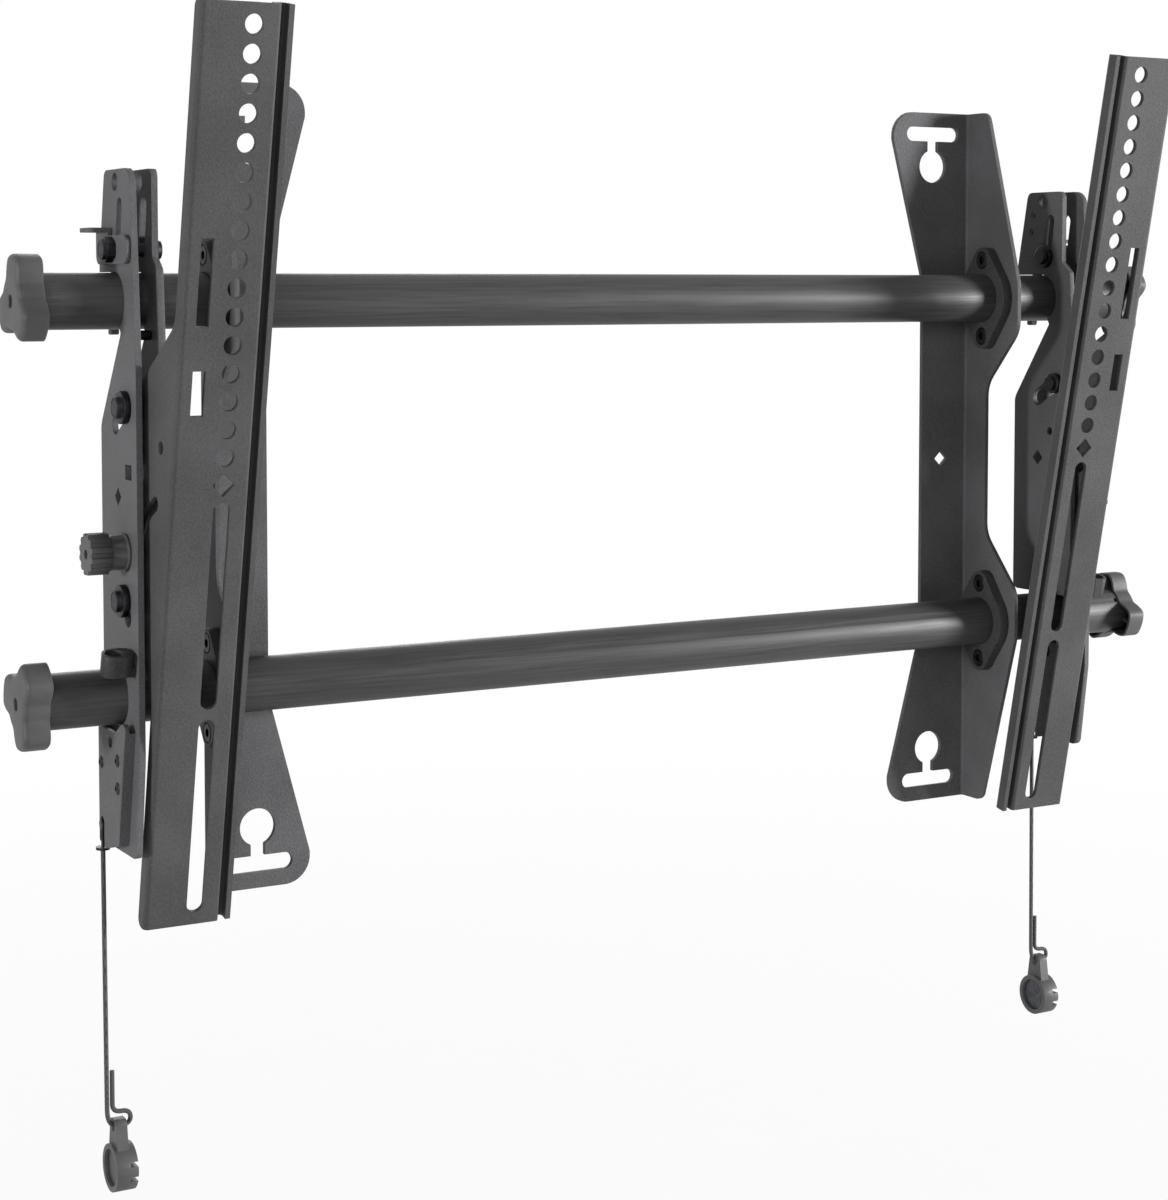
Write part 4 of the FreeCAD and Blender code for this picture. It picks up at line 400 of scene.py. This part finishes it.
def close_tree(tree, given, shape, facing=FACING_LEFT):
    """Set one shape on every point, make it real and give it its finish."""
    planted = add(tree, "GeometryNodeInstanceOnPoints", {"Points": given["Points"], "Instance": shape,
                                                         "Rotation": facing})
    real = add(tree, "GeometryNodeRealizeInstances", {"Geometry": planted.outputs["Instances"]})
    dressed = add(tree, "GeometryNodeSetMaterial", {"Geometry": real.outputs["Geometry"],
                                                    "Material": given["Finish"]})
    add(tree, "NodeGroupOutput", {"Planted": dressed.outputs["Geometry"]})


def plant(tree, name, places_mm, sizes_mm, finish):
    """Run a tree on a cloud of points and keep the result as a plain mesh."""
    cloud = bpy.data.meshes.new(f"{name}_points")
    cloud.from_pydata([[c * MM for c in place] for place in places_mm], [], [])
    piece = bpy.data.objects.new(name, cloud)
    bpy.context.scene.collection.objects.link(piece)
    modifier = piece.modifiers.new(name, "NODES")
    modifier.node_group = tree
    for item in tree.interface.items_tree:
        if item.name in sizes_mm:
            modifier[item.identifier] = sizes_mm[item.name] * MM
        elif item.name == "Finish":
            modifier[item.identifier] = finish
    ready = piece.evaluated_get(bpy.context.evaluated_depsgraph_get())
    mesh = bpy.data.meshes.new_from_object(ready)
    piece.modifiers.remove(modifier)
    piece.data = mesh
    print(f"{name}: {len(places_mm)} planted, {len(mesh.polygons)} faces")
    return piece


print("screws and rivets face", FACING_LEFT)

# %% [markdown]
# The collars are held by socket screws. The head is a short drum with a chamfered rim and a six-sided socket
# for the key; a shank goes on through the upright. Joining and cutting plain solids is how it is machined too.

# %% Socket screws in the collars
SCREW = {"Head Radius": 4.6, "Head Height": 3.4, "Chamfer": 0.5, "Shank Radius": 2.5, "Shank Length": 5.1,
         "Socket Radius": 2.3, "Socket Depth": 2.0}
HEAD_SIDES, SHANK_SIDES, KEY_SIDES = 40, 24, 6
tree, given = new_tree("socket_screw", SCREW)
drum_height = add(tree, "ShaderNodeMath", {0: given["Head Height"], 1: given["Chamfer"]}, operation="SUBTRACT")
drum_middle = add(tree, "ShaderNodeMath", {0: drum_height.outputs["Value"], 1: 0.5}, operation="MULTIPLY")
rim_radius = add(tree, "ShaderNodeMath", {0: given["Head Radius"], 1: given["Chamfer"]}, operation="SUBTRACT")
shank_middle = add(tree, "ShaderNodeMath", {0: given["Shank Length"], 1: -0.5}, operation="MULTIPLY")
socket_depth = add(tree, "ShaderNodeMath", {0: given["Socket Depth"], 1: 2.0}, operation="MULTIPLY")
drum = add(tree, "GeometryNodeMeshCylinder", {"Vertices": HEAD_SIDES, "Radius": given["Head Radius"],
                                              "Depth": drum_height.outputs["Value"]})
rim = add(tree, "GeometryNodeMeshCone", {"Vertices": HEAD_SIDES, "Radius Top": rim_radius.outputs["Value"],
                                         "Radius Bottom": given["Head Radius"], "Depth": given["Chamfer"]})
shank = add(tree, "GeometryNodeMeshCylinder", {"Vertices": SHANK_SIDES, "Radius": given["Shank Radius"],
                                               "Depth": given["Shank Length"]})
key = add(tree, "GeometryNodeMeshCylinder", {"Vertices": KEY_SIDES, "Radius": given["Socket Radius"],
                                             "Depth": socket_depth.outputs["Value"]})
heights = (drum_middle.outputs["Value"], drum_height.outputs["Value"], shank_middle.outputs["Value"],
           given["Head Height"])
placed = []
for solid, height in zip((drum, rim, shank, key), heights):
    lift = add(tree, "ShaderNodeCombineXYZ", {"Z": height})
    move = add(tree, "GeometryNodeTransform", {"Geometry": solid.outputs["Mesh"],
                                               "Translation": lift.outputs["Vector"]})
    placed.append(move.outputs["Geometry"])
solid = add(tree, "GeometryNodeMeshBoolean", {"Mesh 2": placed[:3]}, operation="UNION")
screw = add(tree, "GeometryNodeMeshBoolean", {"Mesh 1": solid.outputs["Mesh"], "Mesh 2": placed[3]},
            operation="DIFFERENCE")
close_tree(tree, given, screw.outputs["Mesh"])
TUBE_Y, TUBE_Z, SCREW_STEP = -23.0, 89.1, 20.8
SCREW_SEATS = (-229.3, 221.6)
places = [(x, TUBE_Y, tube * TUBE_Z + step * SCREW_STEP)
          for x in SCREW_SEATS for tube in (1, -1) for step in (1, -1)]
screws = plant(tree, "socket_screws", places, SCREW, oxide)

# %% [markdown]
# Three rivets hold each latch cover off its plate. A press forms their heads into low domes, which catch a small
# round light. The dome is a flattened ball half sunk in the cover, on a shank that reaches the plate.
# The punch leaves a small hollow in the middle of the dome.

# %% Domed rivets on the latch covers
RIVET = {"Head Radius": 3.0, "Head Height": 0.9, "Shank Radius": 2.2, "Shank Length": 4.8,
         "Hollow Radius": 1.1, "Hollow Depth": 1.2}
DOME_SIDES, DOME_RINGS, PUNCH_SIDES = 32, 16, 20
tree, given = new_tree("domed_rivet", RIVET)
ball = add(tree, "GeometryNodeMeshUVSphere", {"Segments": DOME_SIDES, "Rings": DOME_RINGS, "Radius": 1.0})
dome_size = add(tree, "ShaderNodeCombineXYZ", {"X": given["Head Radius"], "Y": given["Head Radius"],
                                               "Z": given["Head Height"]})
dome = add(tree, "GeometryNodeTransform", {"Geometry": ball.outputs["Mesh"], "Scale": dome_size.outputs["Vector"]})
shank = add(tree, "GeometryNodeMeshCylinder", {"Vertices": SHANK_SIDES, "Radius": given["Shank Radius"],
                                               "Depth": given["Shank Length"]})
shank_middle = add(tree, "ShaderNodeMath", {0: given["Shank Length"], 1: -0.5}, operation="MULTIPLY")
lift = add(tree, "ShaderNodeCombineXYZ", {"Z": shank_middle.outputs["Value"]})
stem = add(tree, "GeometryNodeTransform", {"Geometry": shank.outputs["Mesh"], "Translation": lift.outputs["Vector"]})
rivet = add(tree, "GeometryNodeMeshBoolean", {"Mesh 2": [dome.outputs["Geometry"], stem.outputs["Geometry"]]},
            operation="UNION")
punch = add(tree, "GeometryNodeMeshCylinder", {"Vertices": PUNCH_SIDES, "Radius": given["Hollow Radius"],
                                               "Depth": given["Hollow Depth"]})
rise = add(tree, "ShaderNodeCombineXYZ", {"Z": given["Head Height"]})
strike = add(tree, "GeometryNodeTransform", {"Geometry": punch.outputs["Mesh"],
                                             "Translation": rise.outputs["Vector"]})
hollowed = add(tree, "GeometryNodeMeshBoolean", {"Mesh 1": rivet.outputs["Mesh"],
                                                 "Mesh 2": strike.outputs["Geometry"]}, operation="DIFFERENCE")
close_tree(tree, given, hollowed.outputs["Mesh"])
COVER_FACE = {"left": -279.3, "right": 266.7}
RIVET_PLACES = ((-11.4, -120.8), (-33.9, -116.5), (-33.9, -129.0))
rivets = {}
for side in SIDES:
    places = [(COVER_FACE[side], y, z) for y, z in RIVET_PLACES]
    rivets[side] = plant(tree, f"{side}_domed_rivets", places, RIVET, oxide)

# %% [markdown]
# A small coil spring pushes each latch shut. It is a wire wound on a helix, so a spiral curve with a round section
# gives it, and the tree plants one at the foot of each CAD spring. The cord pulls the pawl down on it.

# %% Latch springs
SPRING = {"Coil Radius": 0.85, "Wire Radius": 0.3, "Rise": 17.2}
SPRING_TURNS, WINDING_STEPS, WIRE_SIDES = 8.0, 24, 10
UPRIGHT = (0.0, 0.0, 0.0)
tree, given = new_tree("coil_spring", SPRING)
winding = add(tree, "GeometryNodeCurveSpiral", {"Resolution": WINDING_STEPS, "Rotations": SPRING_TURNS,
                                                "Start Radius": given["Coil Radius"],
                                                "End Radius": given["Coil Radius"], "Height": given["Rise"]})
section = add(tree, "GeometryNodeCurvePrimitiveCircle", {"Resolution": WIRE_SIDES, "Radius": given["Wire Radius"]})
coil = add(tree, "GeometryNodeCurveToMesh", {"Curve": winding.outputs["Curve"],
                                             "Profile Curve": section.outputs["Curve"], "Fill Caps": True})
close_tree(tree, given, coil.outputs["Mesh"], UPRIGHT)
springs, spring_feet = {}, {}
for side in SIDES:
    low, high = (Vector(corner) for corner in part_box(f"{side}_latch_spring"))
    foot = (low + high) / 2
    foot.z = low.z + SPRING["Wire Radius"] * MM
    spring_feet[side] = foot
    springs[side] = plant(tree, f"{side}_coil_spring", [foot / MM], SPRING, wire)

# %% [markdown]
# The end caps are thin mouldings with three round lobes, a soft rim and an open back. The CAD cap keeps the true
# size with small, plain fillets. Here a cap is a stack of rings: each ring is the lobed outline moved inwards by
# some amount at some depth, so a rounded rim is only a quarter circle of such pairs.
# Averaging the outline's radius over a few degrees rounds the lobes' corners as a mould cutter does.

# %% Lobed end caps
# Lengths are in millimetres; lobe_flat and lobe_foot are degrees from the middle of a lobe.
CAP = {"face_x": 322.0, "length": 12.0, "reach": 21.0, "waist": 13.3, "lobe_flat": 16.0, "lobe_foot": 47.0,
       "wall": 1.2, "face": 2.5, "rim": 2.8, "hole": 2.9, "edge": 0.4, "rib": 1.4, "rib_depth": 7.0, "bore": 12.8}
CAP_STEPS, CAP_BLUR, BLUR_PASSES, RIM_STEPS = 180, 1, 2, 6
LOBES = 3
LOBE_STEP = 360 / LOBES
SHARP_ANGLE = math.radians(35)
LOBE_TURN = {"left_upper": 98.0, "left_lower": 131.5, "right_upper": 140.0, "right_lower": 80.0}


def lobed_radius(degrees):
    """The outline's radius: an arc on a lobe that eases down to the waist between two lobes."""
    off_lobe = abs((degrees + LOBE_STEP / 2) % LOBE_STEP - LOBE_STEP / 2)
    fall = min(max((off_lobe - CAP["lobe_flat"]) / (CAP["lobe_foot"] - CAP["lobe_flat"]), 0.0), 1.0)
    return CAP["reach"] - (CAP["reach"] - CAP["waist"]) * fall * fall * (3 - 2 * fall)


def lobed_outline():
    """Points of the rounded outline, the inward direction at each, and their angles."""
    radii = [lobed_radius(360 * i / CAP_STEPS) for i in range(CAP_STEPS)]
    for _ in range(BLUR_PASSES):
        radii = [sum(radii[(i + k) % CAP_STEPS] for k in range(-CAP_BLUR, CAP_BLUR + 1)) / (2 * CAP_BLUR + 1)
                 for i in range(CAP_STEPS)]
    angles = [math.tau * i / CAP_STEPS for i in range(CAP_STEPS)]
    points = [Vector((r * math.cos(a), r * math.sin(a))) for r, a in zip(radii, angles)]
    inwards = []
    for i in range(CAP_STEPS):
        along = (points[(i + 1) % CAP_STEPS] - points[i - 1]).normalized()
        inwards.append(Vector((-along.y, along.x)))
    return points, inwards, angles


def lobed_cap(name, heading, z, turn):
    """A hollow cap whose face looks along heading, with one lobe at the given angle from +Y."""
    points, inwards, angles = lobed_outline()
    rim, length, wall, face, edge = CAP["rim"], CAP["length"], CAP["wall"], CAP["face"], CAP["edge"]
    quarter = [math.pi / 2 * k / RIM_STEPS for k in range(RIM_STEPS + 1)]
    profile = [(rim * (1 - math.sin(q)), rim * (1 - math.cos(q))) for q in quarter]
    profile += [(0.0, length - edge), (edge, length), (wall, length), (wall, face)]
    rings = [[(depth, p + n * inset) for p, n in zip(points, inwards)] for inset, depth in profile]
    for ring in rings[-2:]:
        ring[:] = [(depth, at * max(1.0, CAP["bore"] / at.length)) for depth, at in ring]
    for radius, depth in ((CAP["hole"], face), (CAP["hole"], edge), (CAP["hole"] + edge, 0.0)):
        rings.append([(depth, Vector((radius * math.cos(a), radius * math.sin(a)))) for a in angles])
    work = bmesh.new()
    grid = [[work.verts.new((-depth, at.x, at.y)) for depth, at in ring] for ring in rings]
    for ring, following in zip(grid, grid[1:] + grid[:1]):
        for i in range(CAP_STEPS):
            j = (i + 1) % CAP_STEPS
            work.faces.new((ring[i], ring[j], following[j], following[i]))
    rib_length = CAP["reach"] - wall / 2 - CAP["bore"]
    for lobe in range(LOBES):
        size = Matrix.Diagonal((CAP["rib_depth"], rib_length, CAP["rib"], 1.0))
        out = Matrix.Translation((-face - CAP["rib_depth"] / 2 + edge, CAP["bore"] + rib_length / 2, 0.0))
        swing = Matrix.Rotation(math.radians(LOBE_STEP * lobe), 4, "X")
        bmesh.ops.create_cube(work, size=1.0, matrix=swing @ out @ size)
    lay = Matrix.Rotation(math.radians(turn), 4, "X")
    if heading < 0:
        lay = Matrix.Diagonal((-1.0, 1.0, 1.0, 1.0)) @ lay
    where = Matrix.Translation((heading * CAP["face_x"] * MM, TUBE_Y * MM, z * MM)) @ Matrix.Scale(MM, 4) @ lay
    bmesh.ops.transform(work, matrix=where, verts=work.verts)
    bmesh.ops.recalc_face_normals(work, faces=work.faces)
    mesh = bpy.data.meshes.new(name)
    work.to_mesh(mesh)
    work.free()
    mesh.polygons.foreach_set("use_smooth", [True] * len(mesh.polygons))
    mesh.set_sharp_from_angle(angle=SHARP_ANGLE)
    mesh.materials.append(plastic)
    cap = bpy.data.objects.new(name, mesh)
    bpy.context.scene.collection.objects.link(cap)
    print(f"{name}: {len(mesh.polygons)} faces")
    return cap


caps = {}
for spot, turn in LOBE_TURN.items():
    side, level = spot.split("_")
    caps[spot] = lobed_cap(f"{spot}_lobed_cap", 1 if side == "right" else -1,
                           TUBE_Z if level == "upper" else -TUBE_Z, turn)

# %% [markdown]
# A plain pale floor well below the mount and a white world stand in for the studio.
# Both look white to the camera and to shiny surfaces, and the floor still takes the object's shadow.
# Away from the object the floor fades into the white of the world, so no horizon shows.

# %% Floor and world
FLOOR_DROP, FLOOR_REACH = 0.12, 6.0
SHADOW_NEAR, SHADOW_FAR = 0.5, 1.6
AMBIENT = 0.05
FLOOR_GLOW = 0.86
SPECK_MM = 25.0
floor_z = cad_box[0].z - FLOOR_DROP
floor_mesh = bpy.data.meshes.new("floor")
corners = [(x * FLOOR_REACH, y * FLOOR_REACH, floor_z) for x, y in ((-1, -1), (1, -1), (1, 1), (-1, 1))]
floor_mesh.from_pydata(corners, [], [(0, 1, 2, 3)])
floor = bpy.data.objects.new("floor", floor_mesh)
bpy.context.scene.collection.objects.link(floor)

world = bpy.data.worlds.new("studio")
bpy.context.scene.world = world
world.use_nodes = True
pale, floor_tree = new_material("pale_floor")
seen = {}
for tree in (world.node_tree, floor_tree):
    tree.nodes.clear()
    path = add(tree, "ShaderNodeLightPath")
    shiny = add(tree, "ShaderNodeMath", {0: path.outputs["Is Glossy Ray"], 1: path.outputs["Is Transmission Ray"]},
                operation="ADD")
    seen[tree] = add(tree, "ShaderNodeMath", {0: path.outputs["Is Camera Ray"], 1: shiny.outputs["Value"]},
                     operation="ADD", use_clamp=True).outputs["Value"]

tree = world.node_tree
lit = add(tree, "ShaderNodeBackground", {"Color": srgb("ffffff"), "Strength": AMBIENT})
shown = add(tree, "ShaderNodeBackground", {"Color": srgb("ffffff"), "Strength": 1.0})
either = add(tree, "ShaderNodeMixShader", {0: seen[tree], 1: lit.outputs["Background"],
                                           2: shown.outputs["Background"]})
add(tree, "ShaderNodeOutputWorld", {"Surface": either.outputs["Shader"]})

tree = floor_tree
place = add(tree, "ShaderNodeTexCoord").outputs["Object"]
away = add(tree, "ShaderNodeVectorMath", {0: place}, operation="LENGTH")
fade = add(tree, "ShaderNodeMapRange", {"Value": away.outputs["Value"], "From Min": SHADOW_NEAR,
                                        "From Max": SHADOW_FAR, "To Min": FLOOR_GLOW, "To Max": 1.0})
speck = add(tree, "ShaderNodeTexNoise", {"Vector": place, "Scale": 1000 / SPECK_MM})
colour = add(tree, "ShaderNodeMix", {MIX_FACTOR: speck.outputs["Fac"], MIX_FIRST: srgb("e4e4e4"),
                                     MIX_SECOND: srgb("ececec")}, data_type="RGBA")
matt = add(tree, "ShaderNodeBsdfDiffuse", {"Color": colour.outputs[MIX_RESULT]})
glow = add(tree, "ShaderNodeEmission", {"Color": srgb("ffffff"), "Strength": 1.0})
share = add(tree, "ShaderNodeMath", {0: seen[tree], 1: fade.outputs["Result"]}, operation="MULTIPLY")
either = add(tree, "ShaderNodeMixShader", {0: share.outputs["Value"], 1: matt.outputs["BSDF"],
                                           2: glow.outputs["Emission"]})
add(tree, "ShaderNodeOutputMaterial", {"Surface": either.outputs["Shader"]})
floor.data.materials.append(pale)
print("floor at", round(floor_z, 3))

# %% [markdown]
# Two lamps light the dark coat as in the photograph. One stands far to the left, so the faces that look left
# are the palest. One stands in front to the right and lights the rails, the tubes and the left upright, while the
# right upright stays in the shade of its rail. A weak fill and a weak top light keep the edges readable.
# A lamp behind serves only the views from the wall side.

# %% Lamps
# Each lamp has a name, a place, an aim, a size in metres and a power in watts.
LAMPS = (
    ("left", (-2.4, -0.45, 0.15), (0.0, 0.0, 0.0), 0.35, 42.0),
    ("right_front", (3.3, -2.06, 0.25), (0.0, 0.0, -0.05), 0.7, 310.0),
    ("fill", (-1.6, -2.7, 0.8), (0.0, 0.0, 0.0), 0.8, 20.0),
    ("top", (0.1, 0.3, 2.0), (0.0, -0.05, 0.0), 1.4, 8.0),
    ("back", (0.8, 3.0, 1.2), (0.0, 0.0, 0.0), 1.4, 40.0),
)
for name, spot, aim, size, power in LAMPS:
    lamp_data = bpy.data.lights.new(name, "AREA")
    lamp_data.size = size
    lamp_data.energy = power
    lamp = bpy.data.objects.new(name, lamp_data)
    lamp.location = spot
    lamp.rotation_euler = (Vector(aim) - Vector(spot)).to_track_quat("-Z", "Y").to_euler()
    bpy.context.scene.collection.objects.link(lamp)
bpy.context.scene.view_settings.view_transform = "Standard"
print("lamps:", len(LAMPS))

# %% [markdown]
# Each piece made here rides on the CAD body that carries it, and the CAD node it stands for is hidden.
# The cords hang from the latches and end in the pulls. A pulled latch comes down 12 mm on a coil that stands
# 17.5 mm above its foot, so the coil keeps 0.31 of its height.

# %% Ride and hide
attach(screws, "frame")
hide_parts("collar_screws")
for spot, cap in caps.items():
    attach(cap, "frame")
    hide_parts(f"{spot}_cap")
for side in SIDES:
    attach(rivets[side], f"{side}_hanger")
    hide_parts(f"{side}_latch_rivets")
    spring = springs[side]
    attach(spring, f"{side}_hanger")
    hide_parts(f"{side}_latch_spring")
    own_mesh(spring)
    cord = cords[side]
    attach(cord, f"{side}_latch")
    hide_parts(f"{side}_pull_cord")
    spline = cord.data.splines[0]
print("pieces that ride:", 1 + len(caps) + len(rivets) + len(springs) + len(cords))
